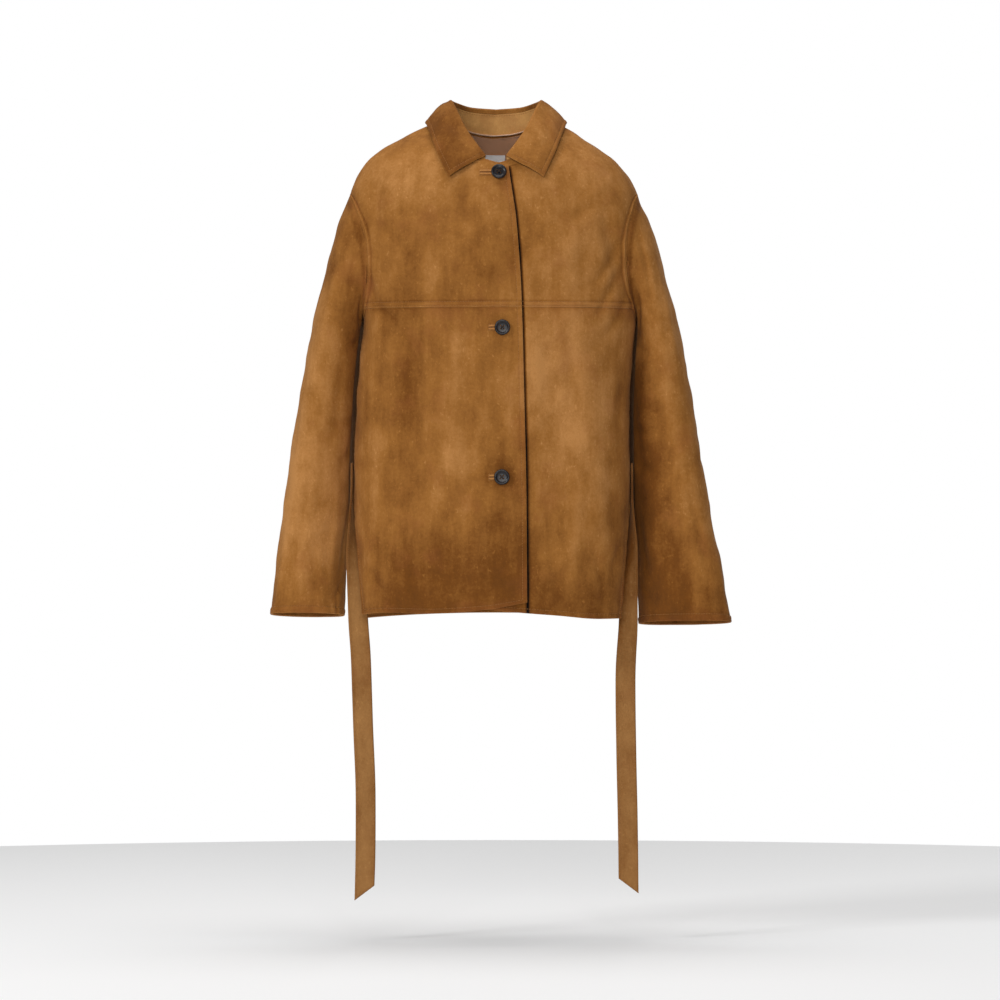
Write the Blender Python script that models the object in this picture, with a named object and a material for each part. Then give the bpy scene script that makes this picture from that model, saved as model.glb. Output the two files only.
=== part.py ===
"""A suede jacket with a shirt collar, three buttons, side vents and two tie-belt ends.

The jacket is filled out as if it were worn, but it is hollow. Its cloth is a wall of one thickness that
follows a body form made of superellipse rings. Lengths are in millimetres until a mesh is made.
+X is the wearer's left, -Y is the front, +Z is up, and the origin is level with the back neck seam.
"""

import math

import bmesh
import bpy
import numpy as np
from mathutils import Matrix

for old_object in list(bpy.data.objects):
    bpy.data.objects.remove(old_object, do_unlink=True)

METRES = 0.001

# ---------------------------------------------------------------- driving dimensions

WALL = 2.0                  # suede with its backing
LINING_WALL = 1.0
SEAM_GAP = 0.3              # between two pieces that are sewn together
LAY_GAP = 0.45              # between a piece and the one it lies on
RING_SAMPLES = 721          # points that each ring of the body form is measured with
SETTLE_ROUNDS = 6           # Newton steps that bring a point to its height above the form
SIDE_CROWDING = 1.5         # more than 1 puts a panel's columns closer together towards its side

SHOULDER_TIP_Z = -81.0      # the armhole's top
ARMPIT_Z = -253.0           # the armhole's bottom
ARMHOLE_FRONT = 57.0        # how far the armhole swings to the front
ARMHOLE_BACK = 62.0
ARMHOLE_STEPS = 12          # steps down each side of the armhole
YOKE_STEP = 10              # the armhole step that the yoke seam meets
VENT_TOP_Z = -484.0
HEM_Z = -665.0
BACK_HEM_Z = -668.0

NECK_POINT_Z = 26.5         # where the shoulder seam meets the neckline
COLLAR_END_Z = -36.5
FRONT_CORNER_Z = -44.5      # top corner of each front edge
UNDER_EDGE_X = -18.0        # edge of the front that lies underneath
OVERLAP_LIFT = 3.2          # how far the upper front stands off the body form
OVERLAP_RISE = (-44.0, -24.0)  # it rises between these distances from the middle

LINING_TOP_Z = 24.5
PIPING_RADIUS = 1.1
PIPING_GAP = 0.5            # between the piping and the inside of the back
PIPING_RISE = 1.2
LABEL_X = (-15.0, 13.0)
LABEL_Z = (-18.0, -46.0)
LABEL_WALL = 1.0
LABEL_GAP = 1.0             # the label is sewn on loosely

BUTTONS = (("top", 4.0, -55.5), ("middle", 8.8, -269.5), ("low", 8.0, -476.5))
BUTTON_RADIUS = 10.8
BUTTON_THICKNESS = 3.4
BUTTON_SIDES = 20
# Half of the button's section, from the middle of its underside to the middle of its dished face.
BUTTON_PROFILE = ((0, 0), (8.2, 0), (BUTTON_RADIUS, 1.2), (BUTTON_RADIUS, 2.6), (9.6, BUTTON_THICKNESS),
                  (8.0, BUTTON_THICKNESS), (6.6, 2.3), (0, 2.3))
HOLE_RADIUS = 1.0
HOLE_SPACING = 2.3          # of the four holes, from the middle
DRILL_LENGTH = 12.0
BUTTONHOLE_LENGTH = 26.0
BUTTONHOLE_PAST = 8.0       # how far it runs past the button's middle
BUTTONHOLE_WIDTH = 7.0
BUTTONHOLE_WALL = 1.0

TIE_WIDTH = 28.0
TIE_WALL = 2.2
TIE_ROWS = 30
TIE_SLANT = 21.0            # how much longer the outer edge of each tie is
TIE_SLANT_RUN = 120.0       # the stretch at its end over which it slants

# The body form: a ring at each height. The front and the back have their own depth, and below the vents' top
# their own half width too.
BODY_COLUMNS = ("z", "centre_x", "front_half", "back_half", "front_depth", "back_depth", "squareness")
BODY_ROWS = (
    (-690, -6, 186, 197, 112, 116, 2.40),
    (-600, -6, 189, 196, 115, 113, 2.40),
    (-520, -6, 192, 194, 114, 110, 2.40),
    (-460, -6, 193, 193, 112, 107, 2.40),
    (-375, -4, 190.5, 190.5, 112, 103, 2.40),
    (-310, 0, 190, 190, 113, 103, 2.40),
    (-253, 5, 190, 190, 114, 106, 2.40),
    (-210, 2, 195, 195, 113, 108, 2.35),
    (-165, 1, 201, 201, 110, 109, 2.30),
    (-110, -2, 203, 203, 102, 105, 2.30),
    (-81, -3, 201, 201, 95, 100, 2.20),
    (-60, -4, 192.5, 192.5, 88, 94, 2.10),
    (-46, -5.5, 183.5, 183.5, 82, 89, 2.05),
    (-32, -6.5, 171.5, 171.5, 73, 83, 2.0),
    (-18, -7.5, 153.5, 153.5, 63, 76, 2.0),
    (-4, -6, 130, 130, 49, 66, 2.0),
    (10, -3, 106.5, 106.5, 31, 53, 2.0),
    (20, -1, 86, 86, 23, 34, 2.0),
    (28, 0, 72, 72, 13, 15, 2.0),
)

# Half of the neckline: how far it is from the middle at each height.
NECK_FRONT = ((FRONT_CORNER_Z, -17), (-41, 0), (COLLAR_END_Z, 15.5), (-31, 25), (-20, 39), (-5, 52), (10, 62), (20, 67),
              (NECK_POINT_Z, 70))
NECK_BACK = ((4, 0), (5.5, 20), (9, 38), (15, 54), (21, 64), (NECK_POINT_Z, 70))

# The upper front's edge, slanting away from the middle on its way down.
FRONT_EDGE = ((-690, 43), (-508, 42), (-368, 39), (-222, 35), (-116, 27.5), (-88, 23.5),
              (FRONT_CORNER_Z, 17))

# Hem: how far each front's hem is above or below HEM_Z, from the wearer's right to the wearer's left.
HEM_BEND_Z = -560.0         # the fronts bend to their hem lines below this
HEM_BEND_POWER = 1.5
RIGHT_HEM = ((-190, -3), (-155, 1), (-95, 0), (-8, 6), (14, 10), (43, 15.5))
LEFT_HEM = ((-18, 6), (35, 1), (86, -3), (145, -8), (180, -8))

# The back's lower corners hang lower than its middle.
BACK_BEND_Z = -600.0
BACK_CORNER_X = 190.0
BACK_CORNER_DROP = 7.0

# Vents: where each panel's free edge lies at each height.
VENT_FRONT_Y = ((-690, -44), (-600, -30), (-520, -12), (-484, -0.2))
VENT_BACK_Y = ((-690, 24), (-600, 18), (-560, 15), (-520, 11), (-484, 0.2))

# Largest folds of the body: a line from its upper to its lower end, its half width, and its depth, which is
# negative for a ridge.
# Columns: x_top, z_top, x_low, z_low, half_width, depth.
FRONT_FOLDS = (
    (-116, -200, -128, -560, 26, 8.0),
    (-58, -230, -62, -600, 22, -3.0),
    (70, -290, 84, -650, 24, 3.5),
    (128, -260, 140, -640, 24, -3.0),
    (150, -95, 176, -225, 12, 5.0),
    (-166, -60, -172, -150, 12, 5.0),
)
BACK_FOLDS = (
    (-70, -160, -92, -600, 26, 6.0),
    (64, -200, 88, -640, 24, 5.0),
    (0, -330, 4, -660, 28, -4.0),
    (-150, -110, -128, -240, 16, 5.0),
    (150, -110, 126, -250, 16, 5.0),
)

# The sleeves: each ring runs from its outer point to its inner one. Outer distances are taken from lean_x. Below
# the armpit the inner point lies behind the body's widest part, inner_gap off its back, so that the arm nests there.
# Columns: outer_z, outer_x, lean_x, inner_z, inner_y, inner_gap, centre_y, half_depth.
SLEEVE_ROWS = (
    (-81, 201, -3, -253, 2.5, 0, 2.5, 59.5),
    (-93, 206, -3.5, -256, 12, 1, 4, 62),
    (-112, 215, -3, -258, 22, 1.5, 6, 65),
    (-138, 224.5, -2, -261, 30, 2.5, 8, 68),
    (-168, 232.5, -1.5, -266, 36, 3.5, 10, 70),
    (-202, 241, -1.5, -273, 40, 4.5, 12, 71),
    (-240, 251.5, -0.5, -286, 43, 5, 13, 71),
    (-282, 260.5, 0, -310, 45, 5, 14, 70),
    (-328, 269, 0, -345, 46, 5, 14, 68),
    (-378, 278, 0, -388, 46, 5, 13, 66),
    (-430, 286.5, 0, -436, 44, 5, 10, 63),
    (-484, 294, 1, -487, 40, 5, 6, 60),
    (-538, 302, 2.5, -540, 33, 6.5, 1, 56),
    (-590, 311.5, 4.5, -591, 24, 9, -5, 51),
    (-636, 318, 5.5, -637, 14, 9.5, -9, 47),
    (-668, 322.5, 6.5, -670, 8, 10, -11, 45),
)
LEFT_CUFF_DROP = 11.0       # the wearer's left sleeve hangs this much lower at its cuff
SLEEVE_CLEAR = 6.0          # between a hanging sleeve and the body's side
CLEAR_GROWTH = 0.7          # how much of that each ring adds below the armhole
CUFF_TILT = 4.0             # the cuff's front edge is this much higher than its middle
HANG_Z = -300.0             # below this height the sleeves differ from each other
SLEEVE_ROUNDNESS = 0.9      # below 1 makes a ring squarer than an ellipse
HEAD_FADE = (1, 0.72, 0.5, 0.3, 0.15, 0.05)  # how far each ring of the sleeve's head follows the armhole

# The collar's fold and its free edge, from the centre back to the front end.
COLLAR_COLUMNS = ("along", "fold_x", "fold_y", "fold_z", "edge_x", "edge_y", "edge_z")
COLLAR_ROWS = (
    (0.00, 0, 58, 43, 0, 75, -8),
    (0.20, 33, 50, 45, 48, 71, -7.5),
    (0.38, 55, 26, 50, 84, 46, 2),
    (0.50, 63, -2, 52, 99, 6, 20),
    (0.64, 58, -28, 42, 93, -32, 4),
    (0.80, 42, -54, 10, 82, -64, -26),
    (1.00, 14.5, -77, -29, 66, -88, -61),
)
NECK_MIDDLE_Y = -10.0       # of the neckline, which the stand faces away from
COLLAR_HEIGHT = 3.6         # of the leaf's outer face above the body form, at its free edge
COLLAR_BULGE = 6.0
STAND_STEPS = 3
LEAF_STEPS = 5
ROLL_RADIUS = 2.7           # of the fold's outer face
ROLL_ANGLES = np.radians([180, 130, 80, 30])
LEAF_SEAM_DROP = 7.0        # from the fold to the seam between leaf and stand

# Ties: the middle of the strip at each height, and how far it is turned from facing the side to facing front.
TIE_COLUMNS = ("z", "x", "y", "turn")
LEFT_TIE = (
    (-456, 189.9, 0, 0), (-500, 190.6, -4, 0), (-530, 190.4, -8, 10), (-560, 189.5, -9, 30), (-590, 187.5, -11, 48),
    (-620, 186, -12, 60), (-676, 184.8, -13, 70), (-760, 181, -13, 84), (-850, 182, -12, 90),
    (-985, 184.8, -10, 92), (-1048, 185.5, -9, 90),
)
RIGHT_TIE = (
    (-456, -201.9, 0, 0), (-500, -202.6, -4, 0), (-530, -202.0, -8, -10), (-560, -199.5, -9, -34),
    (-590, -197, -11, -58), (-630, -194.5, -12, -76), (-676, -192.5, -12, -84), (-728, -189, -13, -90),
    (-815, -186.2, -12, -90), (-930, -182.2, -10, -88), (-1000, -182.6, -9, -90), (-1058, -184, -8, -90),
)


# ---------------------------------------------------------------- curves and the body form

def smooth(at, knots, values):
    """Read, at each place, a smooth curve through the values that doesn't overshoot between its knots."""
    at = np.asarray(at, float)
    knots = np.asarray(knots, float)
    values = np.asarray(values, float)
    step = np.diff(knots)
    slope = np.diff(values) / step
    before, after = slope[:-1], slope[1:]
    tangent = np.concatenate([slope[:1], np.zeros(len(before)), slope[-1:]])
    same_way = before * after > 0
    tangent[1:-1][same_way] = 2 * before[same_way] * after[same_way] / (before + after)[same_way]
    cell = np.clip(np.searchsorted(knots, at, side="right") - 1, 0, len(step) - 1)
    t = np.clip((at - knots[cell]) / step[cell], 0, 1)
    rise = values[cell + 1] - values[cell]
    start, end = tangent[cell] * step[cell], tangent[cell + 1] * step[cell]
    return values[cell] + t * start + t * t * (3 * rise - 2 * start - end) + t ** 3 * (start + end - 2 * rise)


def column(rows, names, name):
    return np.array([row[names.index(name)] for row in rows], float)


def body(name, z):
    """One column of the body form at the heights z."""
    return smooth(z, column(BODY_ROWS, BODY_COLUMNS, "z"), column(BODY_ROWS, BODY_COLUMNS, name))


def pair(at, knots):
    """Read a smooth curve from (place, value) pairs."""
    places, values = zip(*knots)
    return smooth(at, places, values)


def body_field(points):
    """The body form's field at some points, which is 0 on the form and grows outwards, and its gradient."""
    x, y, z = np.moveaxis(np.asarray(points, float), -1, 0)
    small = 0.05
    front = y < 0

    def field(x, y, z):
        half = np.where(front, body("front_half", z), body("back_half", z))
        depth = np.where(front, body("front_depth", z), body("back_depth", z))
        power = body("squareness", z)
        across = np.abs(x - body("centre_x", z)) / half
        deep = np.abs(y) / depth
        return (across ** power + deep ** power) ** (1 / power) - 1

    gradient = np.stack([
        field(x + small, y, z) - field(x - small, y, z),
        field(x, y + small, z) - field(x, y - small, z),
        field(x, y, z + small) - field(x, y, z - small)], axis=-1) / (2 * small)
    return field(x, y, z), gradient


def body_normal(points):
    gradient = body_field(points)[1]
    return gradient / np.linalg.norm(gradient, axis=-1, keepdims=True)


def above_body(points, height):
    """Move points along the body form's normal until they are at the given height above it."""
    points = np.array(points, float)
    for _ in range(SETTLE_ROUNDS):
        value, gradient = body_field(points)
        length = np.linalg.norm(gradient, axis=-1)
        points += (gradient / length[..., None]) * (height - value / length)[..., None]
    return points


def fold_offset(x, z, folds):
    """How far the folds move the cloth outwards: each is a soft trough or ridge that fades at both ends."""
    offset = np.zeros(np.broadcast(x, z).shape)
    for x_top, z_top, x_low, z_low, half_width, depth in folds:
        run = np.clip((z_top - z) / (z_top - z_low), 0, 1)
        away = (x - (x_top + (x_low - x_top) * run)) / half_width
        offset -= depth * np.sin(math.pi * run) ** 0.7 * np.exp(-away ** 2)
    return offset


# ---------------------------------------------------------------- rows of the body's panels

def armhole_y(z, reach):
    """The armhole's distance from the side seam at the heights z: an ellipse from shoulder tip to armpit."""
    middle = (SHOULDER_TIP_Z + ARMPIT_Z) / 2
    half = (SHOULDER_TIP_Z - ARMPIT_Z) / 2
    return reach * np.sqrt(np.clip(1 - ((z - middle) / half) ** 2, 0, 1))


def armhole_rows():
    angle = np.linspace(0, math.pi, ARMHOLE_STEPS + 1)
    middle = (SHOULDER_TIP_Z + ARMPIT_Z) / 2
    half = (SHOULDER_TIP_Z - ARMPIT_Z) / 2
    return middle + half * np.cos(angle)


def side_end_y(z, front):
    """Where a panel's row ends at the side: the shoulder seam, the armhole, the side seam or the vent."""
    sign = -1 if front else 1
    reach = ARMHOLE_FRONT if front else ARMHOLE_BACK
    if z < VENT_TOP_Z:
        return float(pair(z, VENT_FRONT_Y if front else VENT_BACK_Y))
    return sign * max(float(armhole_y(z, reach)), SEAM_GAP / 2)


def ring_row(z, side, start_x, front, steps):
    """Points along the body form at height z, evenly spaced from start_x to the side's end."""
    angle = np.linspace(-math.pi / 2, math.pi / 2, RING_SAMPLES)
    power = 2 / float(body("squareness", z))
    half = float(body("front_half" if front else "back_half", z))
    depth = float(body("front_depth" if front else "back_depth", z)) * (-1 if front else 1)
    ring_x = float(body("centre_x", z)) + half * np.sign(np.sin(angle)) * np.abs(np.sin(angle)) ** power
    ring_y = depth * np.abs(np.cos(angle)) ** power
    length = np.concatenate([[0], np.cumsum(np.hypot(np.diff(ring_x), np.diff(ring_y)))])
    start = np.interp(start_x, ring_x, length)
    halfway = len(angle) // 2
    side_part = slice(halfway, None) if side > 0 else slice(None, halfway + 1)
    side_y = np.abs(ring_y[side_part])
    order = np.argsort(side_y)
    end = np.interp(abs(side_end_y(z, front)), side_y[order], length[side_part][order])
    along = start + (end - start) * steps
    return np.stack([np.interp(along, length, ring_x), np.interp(along, length, ring_y), np.full(len(along), z)], -1)


def neck_start(z, front):
    """Distance of the neckline from the middle; negative where a front reaches past the middle."""
    return float(pair(z, NECK_FRONT if front else NECK_BACK))


def front_start_x(z, side):
    """Where a front's row starts: at the neckline above its top corner, and at its front edge below it."""
    if z >= FRONT_CORNER_Z:
        return side * neck_start(z, True)
    return float(pair(z, FRONT_EDGE)) if side < 0 else UNDER_EDGE_X


def overlap_lift(x, side):
    """The wearer's right front rises over the edge of the left one."""
    if side > 0:
        return np.zeros_like(x)
    start, end = OVERLAP_RISE
    rise = np.clip((x - start) / (end - start), 0, 1)
    return OVERLAP_LIFT * rise * rise * (3 - 2 * rise)


def hem_lowered(points, rows, side):
    """Bend the lowest rows of a front to its hem line."""
    lift = pair(points[-1, :, 0], RIGHT_HEM if side < 0 else LEFT_HEM)
    share = np.clip((HEM_BEND_Z - rows) / (HEM_BEND_Z - HEM_Z), 0, 1) ** HEM_BEND_POWER
    points[..., 2] += share[:, None] * lift[None, :]
    return points


def side_steps(columns):
    """Steps along a row, closer together towards the side, where the body form turns."""
    return 1 - (1 - np.linspace(0, 1, columns + 1)) ** SIDE_CROWDING


def front_grid(rows, side, columns):
    steps = side_steps(columns)
    points = np.array([ring_row(z, side, front_start_x(z, side), True, steps) for z in rows])
    normals = body_normal(points)
    lift = overlap_lift(points[..., 0], side) + fold_offset(points[..., 0], points[..., 2], FRONT_FOLDS)
    points += normals * lift[..., None]
    return hem_lowered(points, np.asarray(rows, float), side), normals


def back_half_grid(rows, side, columns):
    steps = side_steps(columns)
    centre = [float(body("centre_x", z)) for z in rows]
    starts = [side * neck_start(z, False) if z > NECK_BACK[0][0] else middle for z, middle in zip(rows, centre)]
    points = np.array([ring_row(z, side, start, False, steps) for z, start in zip(rows, starts)])
    normals = body_normal(points)
    points += normals * fold_offset(points[..., 0], points[..., 2], BACK_FOLDS)[..., None]
    low = np.clip((BACK_BEND_Z - points[..., 2]) / (BACK_BEND_Z - BACK_HEM_Z), 0, 1)
    points[..., 2] -= BACK_CORNER_DROP * low * (points[..., 0] / BACK_CORNER_X) ** 2
    return points, normals


# ---------------------------------------------------------------- meshes

def cloth_material(name, colour, roughness=0.9):
    material = bpy.data.materials.new(name)
    material.use_nodes = True
    shader = material.node_tree.nodes["Principled BSDF"]
    shader.inputs["Base Color"].default_value = (*colour, 1)
    shader.inputs["Roughness"].default_value = roughness
    shader.inputs["Metallic"].default_value = 0.0
    return material


def add_mesh(name, points, faces, material, scale=METRES):
    """Make one object. Points that coincide are welded, and flat shading is kept only on sharp edges."""
    mesh = bpy.data.meshes.new(name)
    mesh.from_pydata([tuple(point * scale) for point in np.asarray(points, float)], [], faces)
    work = bmesh.new()
    work.from_mesh(mesh)
    bmesh.ops.remove_doubles(work, verts=work.verts, dist=1e-7)
    bmesh.ops.recalc_face_normals(work, faces=work.faces)
    work.to_mesh(mesh)
    work.free()
    mesh.shade_smooth()
    mesh.set_sharp_from_angle(angle=math.radians(40))
    mesh.materials.append(material)
    item = bpy.data.objects.new(name, mesh)
    bpy.context.scene.collection.objects.link(item)
    return item


def grid_faces(rows, columns, first=0, closed=False):
    """Triangles of a grid of points that is stored row by row, with columns points to a row."""
    faces = []
    for row in range(rows - 1):
        for step in range(columns if closed else columns - 1):
            here = first + row * columns + step
            after = first + row * columns + (step + 1) % columns
            faces += [(here, after, here + columns), (after, after + columns, here + columns)]
    return faces


def mesh_normals(points, faces):
    """Normal of each point, from the faces round it."""
    normals = np.zeros_like(points)
    for face in faces:
        a, b, c = (points[index] for index in face)
        normals[list(face)] += np.cross(b - a, c - a)
    return normals / np.linalg.norm(normals, axis=1, keepdims=True)


def cloth(name, points, faces, normals, material, wall=WALL):
    """Thicken a sheet inwards into a closed wall: its outer face, its inner face and the rims between them."""
    count = len(points)
    a, b, c = (points[list(corner)] for corner in zip(*faces))
    facing = np.einsum("ij,ij->", np.cross(b - a, c - a), normals[[face[0] for face in faces]])
    if facing < 0:
        faces = [face[::-1] for face in faces]
    edges = {(face[i], face[(i + 1) % 3]) for face in faces for i in range(3)}
    rims = [(b, a, a + count, b + count) for a, b in sorted(edges) if (b, a) not in edges]
    inner = [tuple(index + count for index in face[::-1]) for face in faces]
    everything = np.concatenate([points, points - wall * normals])
    return add_mesh(name, everything, list(faces) + inner + rims, material)


def cloth_grid(name, points, normals, material, wall=WALL):
    rows, columns = points.shape[:2]
    return cloth(name, points.reshape(-1, 3), grid_faces(rows, columns), normals.reshape(-1, 3), material, wall)


def weld(points, normals, faces):
    """Join points that coincide, so that two grids share the line where they meet."""
    keys = {}
    target = [keys.setdefault(tuple(np.round(point, 4)), index) for index, point in enumerate(points)]
    kept = sorted(set(target))
    place = {index: new for new, index in enumerate(kept)}
    return points[kept], normals[kept], [tuple(place[target[index]] for index in face) for face in faces]


TAN = cloth_material("tan_suede", (0.38, 0.20, 0.085))
SATIN = cloth_material("brown_satin", (0.20, 0.10, 0.05), 0.45)
PIPING = cloth_material("pink_satin", (0.60, 0.36, 0.24), 0.4)
WOVEN = cloth_material("white_woven", (0.75, 0.70, 0.66), 0.8)
HORN = cloth_material("dark_button", (0.02, 0.015, 0.012), 0.35)

# ---------------------------------------------------------------- fronts and back

UPPER_ROWS = [NECK_POINT_Z, 20, 10, -5, -20, -31, COLLAR_END_Z, -41, FRONT_CORNER_Z, -58, -70]
ARMHOLE_ROWS = list(armhole_rows())
YOKE_Z = ARMHOLE_ROWS[YOKE_STEP]
LOWER_ROWS = [-290, -330, -375, -420, -460, VENT_TOP_Z, -520, -560, -600, -640, HEM_Z]
FRONT_COLUMNS = 12
BACK_COLUMNS = 10

yoke_rows = UPPER_ROWS + ARMHOLE_ROWS[:YOKE_STEP] + [YOKE_Z + SEAM_GAP / 2]
body_rows = [YOKE_Z - SEAM_GAP / 2] + ARMHOLE_ROWS[YOKE_STEP + 1:] + LOWER_ROWS
for side, owner in ((-1, "right"), (1, "left")):
    cloth_grid(f"{owner}_front_yoke", *front_grid(yoke_rows, side, FRONT_COLUMNS), TAN)
    cloth_grid(f"{owner}_front_body", *front_grid(body_rows, side, FRONT_COLUMNS), TAN)

BACK_UPPER_ROWS = [NECK_POINT_Z, 21, 15, 9, 5.5, 4, -10, -26, -44, -62]
BACK_NECK_ROW = 5           # the row of these at the neckline's lowest point
back_rows = BACK_UPPER_ROWS + ARMHOLE_ROWS + LOWER_ROWS[:-1] + [BACK_HEM_Z]


def joined_halves(rows, columns, inset=0.0):
    """The two halves of the back, welded along the middle; inset moves them inwards, as for a lining."""
    points, normals, faces = [], [], []
    for side in (-1, 1):
        half_points, half_normals = back_half_grid(rows, side, columns)
        half_faces = grid_faces(len(rows), columns + 1, first=len(points) * len(rows) * (columns + 1))
        faces += half_faces if side < 0 else [face[::-1] for face in half_faces]
        points.append((half_points - inset * half_normals).reshape(-1, 3))
        normals.append(half_normals.reshape(-1, 3))
    return weld(np.concatenate(points), np.concatenate(normals), faces)


points, normals, faces = joined_halves(back_rows, BACK_COLUMNS)
cloth("back", points, faces, normals, TAN)

# ---------------------------------------------------------------- sleeves

def armhole_loop(side):
    """The armhole's points on the finished panels, from the shoulder tip down the front and up the back."""
    lines = []
    for front, folds, rows in ((True, FRONT_FOLDS, ARMHOLE_ROWS), (False, BACK_FOLDS, ARMHOLE_ROWS[-2:0:-1])):
        ends = np.array([ring_row(z, side, 0, front, np.array([1.0]))[0] for z in rows])
        outward = body_normal(ends)
        inside_hole = np.array([0, 0, (SHOULDER_TIP_Z + ARMPIT_Z) / 2]) - ends * [0, 1, 1]
        inside_hole -= outward * np.sum(inside_hole * outward, axis=1, keepdims=True)
        inside_hole /= np.linalg.norm(inside_hole, axis=1, keepdims=True)
        lift = SEAM_GAP + fold_offset(ends[:, 0], ends[:, 2], folds)
        lines.append(ends + outward * lift[:, None] + LAY_GAP * inside_hole)
    return np.concatenate(lines)


def body_half(z, y, gap):
    """Half the body's width at height z, measured at a distance y behind its middle, plus a gap."""
    half, depth, power = (float(body(name, z)) for name in ("back_half", "back_depth", "squareness"))
    return half * (1 - (y / depth) ** power) ** (1 / power) + gap


def sleeve_rings(side):
    """Rings of one sleeve's outer face. The first lies in the armhole, and all keep clear of the body form."""
    around = np.linspace(0, 2 * math.pi, 2 * ARMHOLE_STEPS, endpoint=False)
    to_outer = np.sign(np.cos(around)) * np.abs(np.cos(around)) ** SLEEVE_ROUNDNESS
    to_front = np.sign(np.sin(around)) * np.abs(np.sin(around)) ** SLEEVE_ROUNDNESS
    loop = armhole_loop(side)
    rings = []
    for outer_z, outer_x, lean_x, inner_z, inner_y, inner_gap, centre_y, half_depth in SLEEVE_ROWS:
        outer = np.array([side * outer_x + lean_x, centre_y, outer_z])
        inner = np.array([side * body_half(inner_z, inner_y, inner_gap) + body("centre_x", inner_z), inner_y, inner_z])
        ring = (outer + inner) / 2 + to_outer[:, None] * (outer - inner) / 2
        ring[:, 1] -= half_depth * to_front
        share = np.clip((HANG_Z - ring[:, 2]) / (HANG_Z - SLEEVE_ROWS[-1][0]), 0, 1)
        if side > 0:
            ring[:, 2] -= LEFT_CUFF_DROP * share
        ring[:, 2] += CUFF_TILT * to_front * share ** 4
        rings.append(ring)
    rings = np.array(rings)
    rings[:len(HEAD_FADE)] += np.reshape(HEAD_FADE, (-1, 1, 1)) * (loop - rings[0])
    value, gradient = body_field(rings)
    length = np.linalg.norm(gradient, axis=-1)
    clear = np.minimum(SLEEVE_CLEAR, SEAM_GAP + CLEAR_GROWTH * np.arange(len(rings)))
    short = np.maximum(0, clear[:, None] - value / length)
    return rings + gradient * (short / length)[..., None]


for side, owner in ((-1, "right"), (1, "left")):
    rings = sleeve_rings(side)
    count, around = rings.shape[:2]
    faces = grid_faces(count, around, closed=True)
    if side < 0:
        faces = [face[::-1] for face in faces]
    points = rings.reshape(-1, 3)
    normals = mesh_normals(points, faces)
    outwards = points - np.repeat(rings.mean(axis=1), around, axis=0)
    if np.einsum("ij,ij->", normals, outwards) < 0:
        normals = -normals
    cloth(f"{owner}_sleeve", points, faces, normals, TAN)

# ---------------------------------------------------------------- collar

def neck_line():
    """The neckline's points from the wearer's right collar end, round the back, to the left one."""
    front_rows = [z for z in UPPER_ROWS if z >= COLLAR_END_Z]
    first = np.array([0.0])
    halves = []
    for side in (-1, 1):
        half = [ring_row(z, side, side * neck_start(z, True), True, first)[0] for z in front_rows[::-1]]
        back_rows = BACK_UPPER_ROWS[1:BACK_NECK_ROW]
        half += [ring_row(z, side, side * neck_start(z, False), False, first)[0] for z in back_rows]
        halves.append(np.array(half))
    lowest = BACK_UPPER_ROWS[BACK_NECK_ROW]
    centre = ring_row(lowest, 1, float(body("centre_x", lowest)), False, first)
    return np.concatenate([halves[0], centre, halves[1][::-1]])


def collar_curve(prefix, along):
    """The fold or the free edge at signed places along the collar: -1 and 1 are its ends, 0 is the back."""
    knots = column(COLLAR_ROWS, COLLAR_COLUMNS, "along")
    size = np.abs(along)
    x, y, z = (smooth(size, knots, column(COLLAR_ROWS, COLLAR_COLUMNS, f"{prefix}_{axis}")) for axis in "xyz")
    return np.stack([np.sign(along) * x, y, z], -1)


neck = neck_line()
walk = np.concatenate([[0], np.cumsum(np.linalg.norm(np.diff(neck, axis=0), axis=1))])
neck_along = np.interp(walk, [0, walk[len(neck) // 2], walk[-1]], [-1, 0, 1])
neck_outwards = neck - np.array([0, NECK_MIDDLE_Y, 0])
neck_outwards[:, 2] = 0
neck_outwards /= np.linalg.norm(neck_outwards, axis=1, keepdims=True)

# Two columns of the collar to each step of the neckline, so that the collar follows the panels' edges.
collar_along = np.interp(np.arange(2 * len(neck) - 1) / 2, np.arange(len(neck)), neck_along)


def collar_frame(along):
    """Seam on the neckline, fold line, the direction up the stand, the one outwards, and the seam's drop."""
    fold = collar_curve("fold", along)
    base = np.stack([np.interp(along, neck_along, neck[:, axis]) for axis in range(3)], -1)
    outwards = np.stack([np.interp(along, neck_along, neck_outwards[:, axis]) for axis in range(3)], -1)
    height = np.linalg.norm(fold - base, axis=1, keepdims=True)
    up = (fold - base) / height
    outwards -= up * np.sum(outwards * up, axis=1, keepdims=True)
    outwards /= np.linalg.norm(outwards, axis=1, keepdims=True)
    return base, fold, up, outwards, np.minimum(LEAF_SEAM_DROP, 0.5 * height)


def stand_grid(along, steps):
    """The stand's outer face, from the neckline up to the leaf's seam."""
    base, fold, up, outwards, drop = collar_frame(along)
    low = base + LAY_GAP * up
    top = fold - (drop + SEAM_GAP) * up - (ROLL_RADIUS - WALL) * outwards
    share = np.linspace(0, 1, steps)[:, None, None]
    return low + share * (top - low), np.repeat(outwards[None], steps, axis=0)


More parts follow.
